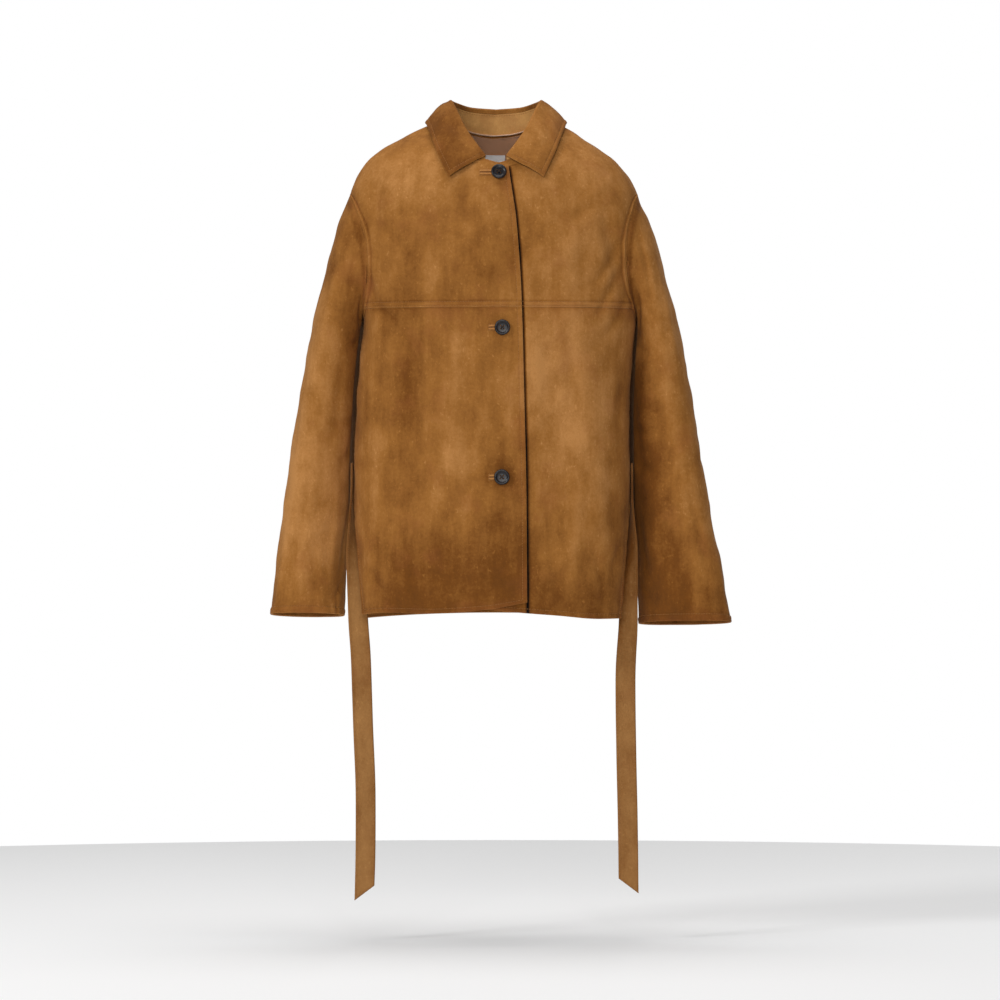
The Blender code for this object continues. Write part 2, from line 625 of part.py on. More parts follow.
def leaf_grid(along, steps):
    """The leaf's outer face: up from its seam inside the neck, over the fold, and down to its free edge."""
    base, fold, up, outwards, drop = collar_frame(along)
    edge = above_body(collar_curve("edge", along), COLLAR_HEIGHT)
    lines = [fold - drop * up - ROLL_RADIUS * outwards]
    facing = [-outwards]
    for angle in ROLL_ANGLES:
        around = math.cos(angle) * outwards + math.sin(angle) * up
        lines.append(fold + ROLL_RADIUS * (around - up))
        facing.append(around)
    start = lines[-1]
    for step in np.linspace(0, 1, steps + 1)[1:]:
        line = start + step * (edge - start)
        value, gradient = body_field(line)
        length = np.linalg.norm(gradient, axis=-1, keepdims=True)
        height = value[:, None] / length
        bulge = COLLAR_BULGE * 4 * step * (1 - step)
        lines.append(line + gradient / length * np.maximum(bulge, COLLAR_HEIGHT - height))
    lines = np.array(lines)
    faces = grid_faces(*lines.shape[:2])
    normals = mesh_normals(lines.reshape(-1, 3), faces).reshape(lines.shape)
    if normals[-1, lines.shape[1] // 2, 1] < 0:
        normals = -normals
    normals[:len(facing)] = facing
    return lines, normals


cloth_grid("collar_stand", *stand_grid(collar_along, STAND_STEPS), TAN)
cloth_grid("collar_leaf", *leaf_grid(collar_along, LEAF_STEPS), TAN)

# ---------------------------------------------------------------- inside the neck

lining_rows = [LINING_TOP_Z] + BACK_UPPER_ROWS[1:] + ARMHOLE_ROWS[:YOKE_STEP + 1]
points, normals, faces = joined_halves(lining_rows, BACK_COLUMNS, inset=WALL + LAY_GAP)
cloth("back_lining", points, faces, normals, SATIN, LINING_WALL)

back_part = [index for index in range(len(neck)) if neck[index, 1] > 0]
piping_line = neck[back_part] - (WALL + LAY_GAP + PIPING_RADIUS + PIPING_GAP) * neck_outwards[back_part]
piping_line[:, 2] += PIPING_RISE


def cord_mesh(line, radius, sides=6):
    """A round cord along a line, with flat ends."""
    tangent = np.gradient(line, axis=0)
    tangent /= np.linalg.norm(tangent, axis=1, keepdims=True)
    across = np.cross(tangent, [0, 0, 1])
    across /= np.linalg.norm(across, axis=1, keepdims=True)
    upward = np.cross(across, tangent)
    angle = np.linspace(0, 2 * math.pi, sides, endpoint=False)
    rings = np.array([line + radius * (math.cos(a) * across + math.sin(a) * upward) for a in angle])
    points = np.moveaxis(rings, 0, 1).reshape(-1, 3)
    faces = grid_faces(len(line), sides, closed=True)
    faces.append(tuple(range(sides)))
    faces.append(tuple(range(len(points) - sides, len(points)))[::-1])
    return points, faces


add_mesh("neck_piping", *cord_mesh(piping_line, PIPING_RADIUS), PIPING)

label_rows = np.linspace(*LABEL_Z, 4)
label = np.array([[(x, float(body("back_depth", z)), z) for x in np.linspace(*LABEL_X, 4)] for z in label_rows])
label = above_body(label, -(WALL + LAY_GAP + LINING_WALL + LABEL_GAP))
label_normals = body_normal(label)
label += label_normals * fold_offset(label[..., 0], label[..., 2], BACK_FOLDS)[..., None]
cloth_grid("neck_label", label, label_normals, WOVEN, LABEL_WALL)

# ---------------------------------------------------------------- buttons and buttonholes

def on_right_front(x, z, height):
    """Points on the wearer's right front, which lies on top, at a height above its outer face."""
    points = np.stack([x, np.full_like(x, -1.0) * body("front_depth", z), z], -1)
    points = above_body(points, 0.0)
    normals = body_normal(points)
    lift = overlap_lift(points[..., 0], -1) + fold_offset(points[..., 0], points[..., 2], FRONT_FOLDS)
    return points + normals * (lift + height)[..., None], normals


def button(name, centre, axis):
    """A turned button: a disc with a raised rim, a dished middle and four holes right through it."""
    sides = BUTTON_SIDES
    angle = np.linspace(0, 2 * math.pi, sides, endpoint=False)
    points = [(0, 0, BUTTON_PROFILE[0][1])]
    for radius, height in BUTTON_PROFILE[1:-1]:
        points += [(radius * math.cos(a), radius * math.sin(a), height) for a in angle]
    points.append((0, 0, BUTTON_PROFILE[-1][1]))
    faces = [(0, 1 + (i + 1) % sides, 1 + i) for i in range(sides)]
    faces += grid_faces(len(BUTTON_PROFILE) - 2, sides, first=1, closed=True)
    last = 1 + (len(BUTTON_PROFILE) - 3) * sides
    faces += [(last + i, last + (i + 1) % sides, len(points) - 1) for i in range(sides)]
    item = add_mesh(name, points, faces, HORN)
    for across in (-1, 1):
        for up in (-1, 1):
            bpy.ops.mesh.primitive_cylinder_add(
                vertices=6, radius=HOLE_RADIUS * METRES, depth=DRILL_LENGTH * METRES,
                location=(across * HOLE_SPACING * METRES, up * HOLE_SPACING * METRES, 0))
            drill = bpy.context.object
            drill.name = f"{name}_drill_{across}_{up}"
            drill.hide_render = True
            drill.display_type = "WIRE"
            cut = item.modifiers.new("hole", "BOOLEAN")
            cut.operation = "DIFFERENCE"
            cut.object = drill
            drill.parent = item
    upward = np.array([0, 0, 1.0])
    across = np.cross(upward, axis)
    across /= np.linalg.norm(across)
    up = np.cross(axis, across)
    matrix = np.eye(4)
    matrix[:3] = np.stack([across, up, axis, np.asarray(centre) * METRES], axis=1)
    item.matrix_world = Matrix(matrix.tolist())


for name, x, z in BUTTONS:
    end = x + BUTTONHOLE_PAST
    reach = np.linspace(end - BUTTONHOLE_LENGTH, end, 6)
    level = np.linspace(z - BUTTONHOLE_WIDTH / 2, z + BUTTONHOLE_WIDTH / 2, 3)
    grid_x, grid_z = np.meshgrid(reach, level)
    points, normals = on_right_front(grid_x, grid_z, LAY_GAP + BUTTONHOLE_WALL)
    cloth_grid(f"buttonhole_{name}", points, normals, TAN, BUTTONHOLE_WALL)
    seat, axis = on_right_front(np.array([x]), np.array([z]), 2 * LAY_GAP + BUTTONHOLE_WALL)
    button(f"button_{name}", seat[0], axis[0])

# ---------------------------------------------------------------- ties of the belt

def tie(name, rows, side):
    """A flat strip that hangs from the side seam, turns to face the front, and ends in a slant."""
    upside = rows[::-1]
    places = column(upside, TIE_COLUMNS, "z")
    z = np.linspace(rows[0][0], rows[-1][0], TIE_ROWS)
    x, y, turn = (smooth(z, places, column(upside, TIE_COLUMNS, name)) for name in ("x", "y", "turn"))
    angle = np.radians(turn)
    across = np.stack([np.sin(angle), -np.cos(angle), np.zeros_like(z)], -1)
    facing = np.stack([np.cos(angle), np.sin(angle), np.zeros_like(z)], -1) * side
    middle = np.stack([x, y, z], -1)
    shares = np.linspace(-0.5, 0.5, 4)
    points = middle[:, None] + shares[None, :, None] * TIE_WIDTH * across[:, None]
    low = np.clip((rows[-1][0] + TIE_SLANT_RUN - z) / TIE_SLANT_RUN, 0, 1) ** 3
    outer = shares * np.sign(across[-1, 0]) * side
    points[..., 2] -= low[:, None] * outer[None, :] * TIE_SLANT
    normals = np.repeat(facing[:, None], len(shares), axis=1)
    cloth_grid(name, points + normals * TIE_WALL / 2, normals, TAN, TIE_WALL)


tie("belt_tie_left", LEFT_TIE, 1)
tie("belt_tie_right", RIGHT_TIE, -1)
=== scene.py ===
"""Looks of a tan suede jacket that is filled out and hollow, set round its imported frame.

Lengths are in millimetres until a mesh is made. +X is the wearer's left, -Y is the front, +Z is up, and the
origin is level with the back neck seam.
"""

import math

import bpy
import numpy as np
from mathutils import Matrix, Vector


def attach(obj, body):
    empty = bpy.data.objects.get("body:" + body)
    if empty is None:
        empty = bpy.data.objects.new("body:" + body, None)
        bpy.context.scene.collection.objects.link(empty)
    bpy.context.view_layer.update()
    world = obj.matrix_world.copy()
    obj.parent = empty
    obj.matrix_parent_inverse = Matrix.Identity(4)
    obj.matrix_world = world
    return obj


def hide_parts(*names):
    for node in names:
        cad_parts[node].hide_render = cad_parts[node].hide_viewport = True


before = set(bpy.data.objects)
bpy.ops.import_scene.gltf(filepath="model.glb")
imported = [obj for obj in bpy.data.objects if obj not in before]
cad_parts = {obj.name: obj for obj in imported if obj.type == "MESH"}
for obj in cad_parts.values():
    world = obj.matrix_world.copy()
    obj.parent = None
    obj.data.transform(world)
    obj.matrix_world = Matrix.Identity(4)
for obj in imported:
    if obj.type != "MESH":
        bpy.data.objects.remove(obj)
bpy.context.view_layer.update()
MM = 0.001

# ---------------------------------------------------------------- fronts: a yoke and a body panel on each side
# Each front is cut in two from brushed split leather, a yoke over the chest and a body below it. The yoke's
# lower edge is turned and stitched down twice, and the wearer's right front lies over the left one.

# The form that every panel follows. The jacket is cut to hang round a body with room to spare, so the form is
# a stack of rings, one for each height, with a depth of its own for the front and the back.
BODY = {                    # columns of the rings, from the lowest height to the highest
    "z": (-690, -600, -520, -460, -375, -310, -253, -210, -165, -110, -81, -60, -46, -32, -18, -4, 10, 20, 28),
    "centre_x": (-6, -6, -6, -6, -4, 0, 5, 2, 1, -2, -3, -4, -5.5, -6.5, -7.5, -6, -3, -1, 0),
    "front_half": (186, 189, 192, 193, 190.5, 190, 190, 195, 201, 203, 201, 192.5, 183.5, 171.5, 153.5, 130,
                   106.5, 86, 72),
    "back_half": (197, 196, 194, 193, 190.5, 190, 190, 195, 201, 203, 201, 192.5, 183.5, 171.5, 153.5, 130,
                  106.5, 86, 72),
    "front_depth": (112, 115, 114, 112, 112, 113, 114, 113, 110, 102, 95, 88, 82, 73, 63, 49, 31, 23, 13),
    "back_depth": (116, 113, 110, 107, 103, 103, 106, 108, 109, 105, 100, 94, 89, 83, 76, 66, 53, 34, 15),
    "squareness": (2.4, 2.4, 2.4, 2.4, 2.4, 2.4, 2.4, 2.35, 2.3, 2.3, 2.2, 2.1, 2.05, 2, 2, 2, 2, 2, 2),
}
WALL = 2.0                  # suede with its backing
SEAM_GAP = 0.3
LAY_GAP = 0.45
RING_SAMPLES = 1441
SETTLE_ROUNDS = 6
END_ROOM = 1.5              # how many times the fixed distances a row must be long before they are squeezed
CLOSER_POWER = 1.15


def smooth(at, knots, values):
    """A cubic through the values. Its slope at each is the harmonic mean of the slopes on both sides, or
    nought where they differ in sign, so it never overshoots."""
    at, knots, values = (np.asarray(item, float) for item in (at, knots, values))
    step = np.diff(knots)
    slope = np.diff(values) / step
    before, after = slope[:-1], slope[1:]
    tangent = np.concatenate([slope[:1], np.zeros(len(before)), slope[-1:]])
    same_way = before * after > 0
    tangent[1:-1][same_way] = 2 * before[same_way] * after[same_way] / (before + after)[same_way]
    cell = np.clip(np.searchsorted(knots, at, side="right") - 1, 0, len(step) - 1)
    t = np.clip((at - knots[cell]) / step[cell], 0, 1)
    rise = values[cell + 1] - values[cell]
    start, end = tangent[cell] * step[cell], tangent[cell + 1] * step[cell]
    return values[cell] + t * start + t * t * (3 * rise - 2 * start - end) + t ** 3 * (start + end - 2 * rise)


def pair(at, knots):
    """Read a smooth curve through (place, value) pairs."""
    return smooth(at, *zip(*knots))


def body(name, z):
    """One measure of the form's rings at any height."""
    return smooth(z, BODY["z"], BODY[name])


def body_field(points):
    """The superellipse (|x/half|^n + |y/depth|^n)^(1/n) - 1, which is 0 on the form, and its gradient."""
    x, y, z = np.moveaxis(np.asarray(points, float), -1, 0)
    small = 0.05
    front = y < 0

    def field(x, y, z):
        """The superellipse itself at any place; the gradient is its difference over a small step."""
        half = np.where(front, body("front_half", z), body("back_half", z))
        depth = np.where(front, body("front_depth", z), body("back_depth", z))
        power = body("squareness", z)
        across = np.abs(x - body("centre_x", z)) / half
        return (across ** power + (np.abs(y) / depth) ** power) ** (1 / power) - 1

    gradient = np.stack([
        field(x + small, y, z) - field(x - small, y, z),
        field(x, y + small, z) - field(x, y - small, z),
        field(x, y, z + small) - field(x, y, z - small)], axis=-1) / (2 * small)
    return field(x, y, z), gradient


def off_body(points):
    """Height above the form, as the field over its slope, and the direction straight away from it."""
    value, gradient = body_field(points)
    slope = np.linalg.norm(gradient, axis=-1, keepdims=True)
    return value[..., None] / slope, gradient / slope


def body_normal(points):
    """The direction straight away from the form: its field's gradient, made 1 long."""
    return off_body(points)[1]


def unit(directions):
    """Each direction divided by its own length."""
    return directions / np.linalg.norm(directions, axis=-1, keepdims=True)


def above_body(points, height):
    """Move points along the form's normal, by Newton steps, until they are at the given height above it."""
    points = np.array(points, float)
    for _ in range(SETTLE_ROUNDS):
        risen, away = off_body(points)
        points += away * (height - risen)
    return points


def spread(reach, near_start, near_end, count):
    """Distances along a row: fixed ones close to each end, and between them a power of even shares, which lie
    a little closer towards the far end. A short row squeezes the fixed ones."""
    squeeze = min(1.0, reach / (END_ROOM * (near_start[-1] + near_end[-1])))
    first = np.array(near_start) * squeeze
    last = reach - np.array(near_end[::-1]) * squeeze
    share = 1 - (1 - np.linspace(0, 1, count + 2)[1:-1]) ** CLOSER_POWER
    return np.concatenate([first, first[-1] + (last[0] - first[-1]) * share, last])


def ring_row(z, side, start_x, front, side_y, near_start, near_end, count):
    """One row on the ring at height z, from start_x to the side: points read off the ring at their lengths
    round it, and their distances from both ends."""
    angle = np.linspace(-math.pi / 2, math.pi / 2, RING_SAMPLES)
    power = 2 / float(body("squareness", z))
    half = float(body("front_half" if front else "back_half", z))
    depth = float(body("front_depth" if front else "back_depth", z)) * (-1 if front else 1)
    ring_x = float(body("centre_x", z)) + half * np.sign(np.sin(angle)) * np.abs(np.sin(angle)) ** power
    ring_y = depth * np.abs(np.cos(angle)) ** power
    length = np.concatenate([[0], np.cumsum(np.hypot(np.diff(ring_x), np.diff(ring_y)))])
    start = np.interp(start_x, ring_x, length)
    halfway = len(angle) // 2
    side_part = slice(halfway, None) if side > 0 else slice(None, halfway + 1)
    off_middle = np.abs(ring_y[side_part])
    order = np.argsort(off_middle)
    end = np.interp(abs(side_y), off_middle[order], length[side_part][order])
    reach = abs(end - start)
    run = spread(reach, near_start, near_end, count)
    along = start + np.sign(end - start) * run
    x, y = np.interp(along, length, ring_x), np.interp(along, length, ring_y)
    return np.stack([x, y, np.full(len(run), z)], -1), run, reach - run


# Suede is split leather of one thickness, brushed to a nap. The dye is uneven: it is worn pale where the
# cloth is rubbed, and it stays dark and reddish along the seams.
TAN_LIGHT = (0.470, 0.215, 0.064)
TAN_MIDDLE = (0.312, 0.126, 0.025)
TAN_DARK = (0.165, 0.055, 0.007)
TAN_RED = (0.270, 0.088, 0.024)


def link(tree, *pairs):
    """Join each source socket to its target."""
    for source, target in pairs:
        tree.links.new(source, target)


def node(tree, kind, **settings):
    """Add a shader node; settings name its properties, or its inputs as in_Name."""
    made = tree.nodes.new(kind)
    for name, value in settings.items():
        if name.startswith("in_"):
            made.inputs[name[3:].replace("_", " ")].default_value = value
        else:
            setattr(made, name, value)
    return made


def maths(tree, operation, first, second, clamp=False):
    """One Math node; each side is a socket or a number."""
    made = node(tree, "ShaderNodeMath", operation=operation, use_clamp=clamp)
    for index, value in enumerate((first, second)):
        if isinstance(value, (int, float)):
            made.inputs[index].default_value = value
        else:
            tree.links.new(value, made.inputs[index])
    return made.outputs[0]


def added(tree, total, *terms, clamp=False):
    """A number or socket plus each term's socket times its amount; only the last sum is clamped."""
    for count, (source, amount) in enumerate(terms, 1):
        last = count == len(terms)
        total = maths(tree, "ADD", total, maths(tree, "MULTIPLY", source, amount), clamp and last)
    return total


def mixed(tree, factor, first, second, blend="MIX"):
    """One colour Mix node; the factor and each colour is a socket or a value."""
    made = node(tree, "ShaderNodeMix", data_type="RGBA", blend_type=blend)
    for index, value in ((0, factor), (6, first), (7, second)):
        if isinstance(value, bpy.types.NodeSocket):
            tree.links.new(value, made.inputs[index])
        elif isinstance(value, tuple):
            made.inputs[index].default_value = (*value, 1)
        else:
            made.inputs[index].default_value = value
    return made.outputs[2]


def napped_group():
    """The look of brushed split leather: clouds, mottles, brush strokes and fibres of four sizes are added to
    the tint painted on the mesh, which also carries painted light and shade, and the sum picks a tone between
    dark and light; below nought the tone darkens further towards black."""
    tree = bpy.data.node_groups.new("napped_leather", "ShaderNodeTree")
    for name in ("Light", "Middle", "Dark", "Red"):
        tree.interface.new_socket(name, in_out="INPUT", socket_type="NodeSocketColor")
    tree.interface.new_socket("Mottle", in_out="INPUT", socket_type="NodeSocketFloat")
    tree.interface.new_socket("Color", in_out="OUTPUT", socket_type="NodeSocketColor")
    for name in ("Roughness", "Height"):
        tree.interface.new_socket(name, in_out="OUTPUT", socket_type="NodeSocketFloat")
    given = node(tree, "NodeGroupInput")
    out = node(tree, "NodeGroupOutput")
    place = node(tree, "ShaderNodeTexCoord").outputs["Object"]
    tint = node(tree, "ShaderNodeAttribute", attribute_name="tint").outputs["Fac"]
    edge = node(tree, "ShaderNodeAttribute", attribute_name="edge").outputs["Fac"]

    def noise(scale, detail, roughness, stretch=(1, 1, 1)):
        """Noise about nought; the scale is in waves to a metre."""
        mapping = node(tree, "ShaderNodeMapping", in_Scale=stretch)
        made = node(tree, "ShaderNodeTexNoise", in_Scale=scale, in_Detail=detail, in_Roughness=roughness)
        link(tree, (place, mapping.inputs["Vector"]), (mapping.outputs[0], made.inputs["Vector"]))
        return maths(tree, "SUBTRACT", made.outputs["Fac"], 0.5)

    # The seven patterns, from wide clouds to single fibres, and how far in from an edge it is rubbed.
    clouds = noise(6.0, 3.0, 0.5)
    mottles = noise(30.0, 4.0, 0.55)
    strokes = noise(46.0, 4.0, 0.6, (1.3, 1.3, 0.3))
    specks = noise(260.0, 3.0, 0.6)
    fibres = noise(1500.0, 2.0, 0.7, (1, 1, 0.5))
    flecks = maths(tree, "SUBTRACT", noise(230.0, 4.0, 0.6, (1, 1, 0.7)), 0.10, clamp=True)
    stains = noise(17.0, 4.0, 0.6)
    rub = maths(tree, "SUBTRACT", 1.0, edge, clamp=True)
    rim = maths(tree, "SUBTRACT", 1.0, maths(tree, "MULTIPLY", edge, 15.0), clamp=True)
    tone = maths(tree, "ADD", tint, 0.5)
    for wave, amount in ((clouds, 0.9), (mottles, 0.62), (strokes, 0.62), (specks, 0.36)):
        share = maths(tree, "MULTIPLY", maths(tree, "MULTIPLY", wave, amount), given.outputs["Mottle"])
        tone = maths(tree, "ADD", tone, share)
    tone = added(tree, tone, (flecks, 2.6), (rub, -0.13), (rim, 0.42))
    upper = maths(tree, "MULTIPLY", maths(tree, "SUBTRACT", tone, 0.5), 2.0, clamp=True)
    lower = maths(tree, "MULTIPLY", tone, 2.0, clamp=True)
    colour = mixed(tree, upper, mixed(tree, lower, given.outputs["Dark"], given.outputs["Middle"]),
                   given.outputs["Light"])
    stain = added(tree, -0.18, (stains, 3.2), (rub, 0.55), clamp=True)
    colour = mixed(tree, maths(tree, "MULTIPLY", stain, 0.62), colour, given.outputs["Red"])
    # Tones below nought darken the colour further towards black, so that a deep painted shadow, as beside the
    # right front's edge, goes near black.
    painted_shade_deepening = added(tree, 1.0, (tone, 0.8), clamp=True)
    lift = maths(tree, "MULTIPLY", added(tree, 1.0, (fibres, 0.42)), painted_shade_deepening)
    grey = node(tree, "ShaderNodeCombineXYZ")
    link(tree, *((lift, socket) for socket in grey.inputs))
    colour = mixed(tree, 1.0, colour, grey.outputs[0], "MULTIPLY")
    height = added(tree, 0.0, (specks, 0.7), (fibres, 0.35), (mottles, 0.6))
    rough = added(tree, 0.88, (mottles, 0.25), clamp=True)
    link(tree, (colour, out.inputs["Color"]), (rough, out.inputs["Roughness"]),
         (height, out.inputs["Height"]))
    return tree


napped = napped_group()


def new_material(name, **constants):
    """A material with constant values on its shader's own sockets, and its node tree and that shader."""
    material = bpy.data.materials.new(name)
    material.use_nodes = True
    shader = material.node_tree.nodes["Principled BSDF"]
    for socket, value in constants.items():
        shader.inputs[socket.replace("_", " ")].default_value = value
    return material, material.node_tree, shader


def suede(name, light=TAN_LIGHT, middle=TAN_MIDDLE, dark=TAN_DARK, red=TAN_RED, mottle=1.0):
    """A suede of its own tones: the napped group feeds the colour, the roughness and a shallow bump."""
    material, tree, shader = new_material(name, Specular_IOR_Level=0.14, Sheen_Weight=0.08,
                                          Sheen_Roughness=0.45, Sheen_Tint=(0.95, 0.62, 0.36, 1))
    look = node(tree, "ShaderNodeGroup", node_tree=napped, in_Light=(*light, 1), in_Middle=(*middle, 1),
                in_Dark=(*dark, 1), in_Red=(*red, 1), in_Mottle=mottle)
    bump = node(tree, "ShaderNodeBump", in_Strength=0.55, in_Distance=0.0009)
    link(tree, (look.outputs["Color"], shader.inputs["Base Color"]),
         (look.outputs["Roughness"], shader.inputs["Roughness"]),
         (look.outputs["Height"], bump.inputs["Height"]), (bump.outputs[0], shader.inputs["Normal"]))
    return material


CREASE_GAIN = 1.35
SWELL_SHARE = 0.32          # of a crease's depth, for the swells beside it
SWELL_SPREAD = 2.1          # times a crease's half width


def creases(across, down, table):
    """Heights of creases on a flat map of the cloth, each a soft trough between two low swells. A crease runs
    from (a0, d0) to (a1, d1), bows sideways, fades at both ends, and a negative depth makes it a ridge."""
    height = np.zeros(np.broadcast(across, down).shape)
    for a0, d0, a1, d1, half_width, depth, bow in table:
        length = math.hypot(a1 - a0, d1 - d0)
        run = ((across - a0) * (a1 - a0) + (down - d0) * (d1 - d0)) / length ** 2
        inside = np.clip(run, 0, 1)
        off = ((across - a0) * (d1 - d0) - (down - d0) * (a1 - a0)) / length - 4 * bow * inside * (1 - inside)
        beyond = np.where(run < 0, -run, np.maximum(run - 1, 0)) * length
        off = np.hypot(off, beyond) / half_width
        section = np.exp(-off ** 2) - SWELL_SHARE * np.exp(-(off / SWELL_SPREAD) ** 2)
        height -= CREASE_GAIN * depth * np.sin(math.pi * inside) ** 0.8 * section
    return height


def long_folds(x, z, folds):
    """The largest folds: each trough or ridge is a Gaussian across, and a half sine along its length."""
    offset = np.zeros(np.broadcast(x, z).shape)
    for x_top, z_top, x_low, z_low, half_width, depth in folds:
        run = np.clip((z_top - z) / (z_top - z_low), 0, 1)
        away = (x - (x_top + (x_low - x_top) * run)) / half_width
        offset -= depth * np.sin(math.pi * run) ** 0.7 * np.exp(-away ** 2)
    return offset


def unevenness(points, amount=1.0):
    """Slow waves that leather keeps: a sum of six sines in different directions, whose phases sway."""
    x, y, z = np.moveaxis(points, -1, 0)
    waves = (               # crest to crest, direction in x, y and z, height
        (88, 1, 0.35, 0.2, 0.55), (61, -0.6, 0.8, 0.45, 0.42), (47, 0.8, -0.5, 0.7, 0.32),
        (36, 0.3, 1, -0.6, 0.24), (29, -0.9, 0.2, 0.75, 0.18), (21, 0.55, 0.7, 0.9, 0.11),
    )
    total = np.zeros(x.shape)
    for index, (length, a, b, c, height) in enumerate(waves):
        size = math.sqrt(a * a + b * b + c * c)
        phase = 2 * math.pi * (a * x + b * y + c * z) / (size * length) + 1.7 * index
        total += height * np.sin(phase + 0.9 * np.sin(phase * 0.37 + index))
    return amount * total


def patches(x, z, table):
    """Tint as a sum of Gaussian ellipses that lighten or, with a negative amount, darken."""
    tint = np.zeros(np.broadcast(x, z).shape)
    for centre_x, centre_z, half_x, half_z, amount in table:
        tint += amount * np.exp(-((x - centre_x) / half_x) ** 2 - ((z - centre_z) / half_z) ** 2)
    return tint


CALM_RUN = 14.0             # from an edge, over which the slow waves come up
CALM_LEAST = 0.15
EDGE_REACH = 22.0           # how far the darker and redder zone runs in from an edge
STITCH_INSET = 6.2          # of a row of topstitching from a turned edge
RIM_ROUND = 1.3             # how far in the rim of a turned edge is rounded
RIM_DROP = 0.9
EDGE_FULL = 0.75            # how much a turned edge is raised by its second layer
SEAM_ROUND = 1.9
# How far in from a turned edge, and from a seamed one, the close columns of a panel lie.
TURNED = (0, 0.4, 1.0, 1.9, 3.2, 4.6, 5.4, 5.9, 6.5, 7.1, 8.2, 10.5)
SEAMED = (0, 0.4, 1.0, 1.9, 3.2, 4.6, 6.2, 8.0, 10.5)


def calm(distance):
    """Share of the slow waves at a distance from an edge: it climbs evenly, as seams hold the cloth flat."""
    return np.clip(distance / CALM_RUN, CALM_LEAST, 1)


def rounded(distance, reach):
    """A square that falls from 1 at the edge to 0 at a distance of reach."""
    return np.clip(1 - distance / reach, 0, 1) ** 2


def turned_edge(distance, along=0.0):
    """A turned and stitched edge: rounded off at its rim, full up to the stitches, and pinched in by them."""
    pucker = 1 + 0.35 * np.sin(along / 3.1) + 0.25 * np.sin(along / 7.3 + 1)
    inset = distance - STITCH_INSET
    full = EDGE_FULL * pucker / (1 + np.exp(np.clip(inset / 0.6, -30, 30)))
    return -RIM_DROP * rounded(distance, RIM_ROUND) + full - EDGE_FULL * np.exp(-(inset / 0.75) ** 2)


def seamed_edge(distance, along=0.0):
    """A plain seam: the cloth turns in over its last 2 mm, and puckers a little for 15 mm beside it."""
    rim = -1.15 * rounded(distance, SEAM_ROUND)
    ripple = np.sin(along / 3.4 + 1.5 * np.sin(along / 19))
    return rim + 0.28 * (ripple * np.exp(-distance / 7) * np.clip(distance / 2, 0, 1))


def armhole_ridge(distance):
    """Beside the armhole the cloth is creased from being worn: a Gaussian swell 3.4 mm from the seam, and a
    Gaussian trough beyond it."""
    return np.exp(-((distance - 3.4) / 1.6) ** 2) - 0.8 * np.exp(-((distance - 7.4) / 2.0) ** 2)


def quads(rows, columns, closed=False):
    """Faces of a grid of points that is stored row by row."""
    index = np.arange(rows * columns).reshape(rows, columns)
    if closed:
        index = np.concatenate([index, index[:, :1]], axis=1)
    corners = (index[:-1, :-1], index[:-1, 1:], index[1:, 1:], index[1:, :-1])
    return np.stack([corner.ravel() for corner in corners], -1)


def walked(points, axis):
    """Distance walked along one axis of a line or a grid of points."""
    steps = np.linalg.norm(np.diff(points, axis=axis), axis=-1)
    return np.concatenate([np.zeros_like(steps.take([0], axis)), np.cumsum(steps, axis=axis)], axis=axis)


def flat_map(points):
    """A panel's UV map: the distances walked across it and down it."""
    return np.stack([walked(points, 1), walked(points, 0)], -1)


def facing(points, faces):
    """Normal of each point: the mean of its faces', each the cross product of the face's diagonals."""
    across = np.cross(points[faces[:, 2]] - points[faces[:, 0]], points[faces[:, 3]] - points[faces[:, 1]])
    normals = np.zeros_like(points)
    for corner in range(4):
        np.add.at(normals, faces[:, corner], across)
    return normals / np.maximum(np.linalg.norm(normals, axis=1, keepdims=True), 1e-9)


def fine_normals(grid, faces, outwards):
    """A grid's own normals, all turned round if they point against the outward directions."""
    normals = facing(grid.reshape(-1, 3), faces).reshape(grid.shape)
    return normals * np.sign(np.einsum("ijk,ijk->", normals, outwards))


def add_mesh(name, points, faces, material, attributes=(), uv=None):
    """One object from arrays in millimetres, shaded smooth but for corners sharper than 50 degrees."""
    mesh = bpy.data.meshes.new(name)
    mesh.from_pydata((points.reshape(-1, 3) * MM).tolist(), [], [tuple(face) for face in faces])
    for label, values in attributes:
        mesh.attributes.new(label, "FLOAT", "POINT").data.foreach_set("value", np.asarray(values, np.float32))
    if uv is not None:
        corners = np.zeros(len(mesh.loops), np.int32)
        mesh.loops.foreach_get("vertex_index", corners)
        mesh.uv_layers.new(name="UVMap").data.foreach_set("uv", (uv[corners] * MM).astype(np.float32).ravel())
    mesh.shade_smooth()
    mesh.set_sharp_from_angle(angle=math.radians(50))
    mesh.materials.append(material)
    item = bpy.data.objects.new(name, mesh)
    bpy.context.scene.collection.objects.link(item)
    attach(item, "root")
    return item


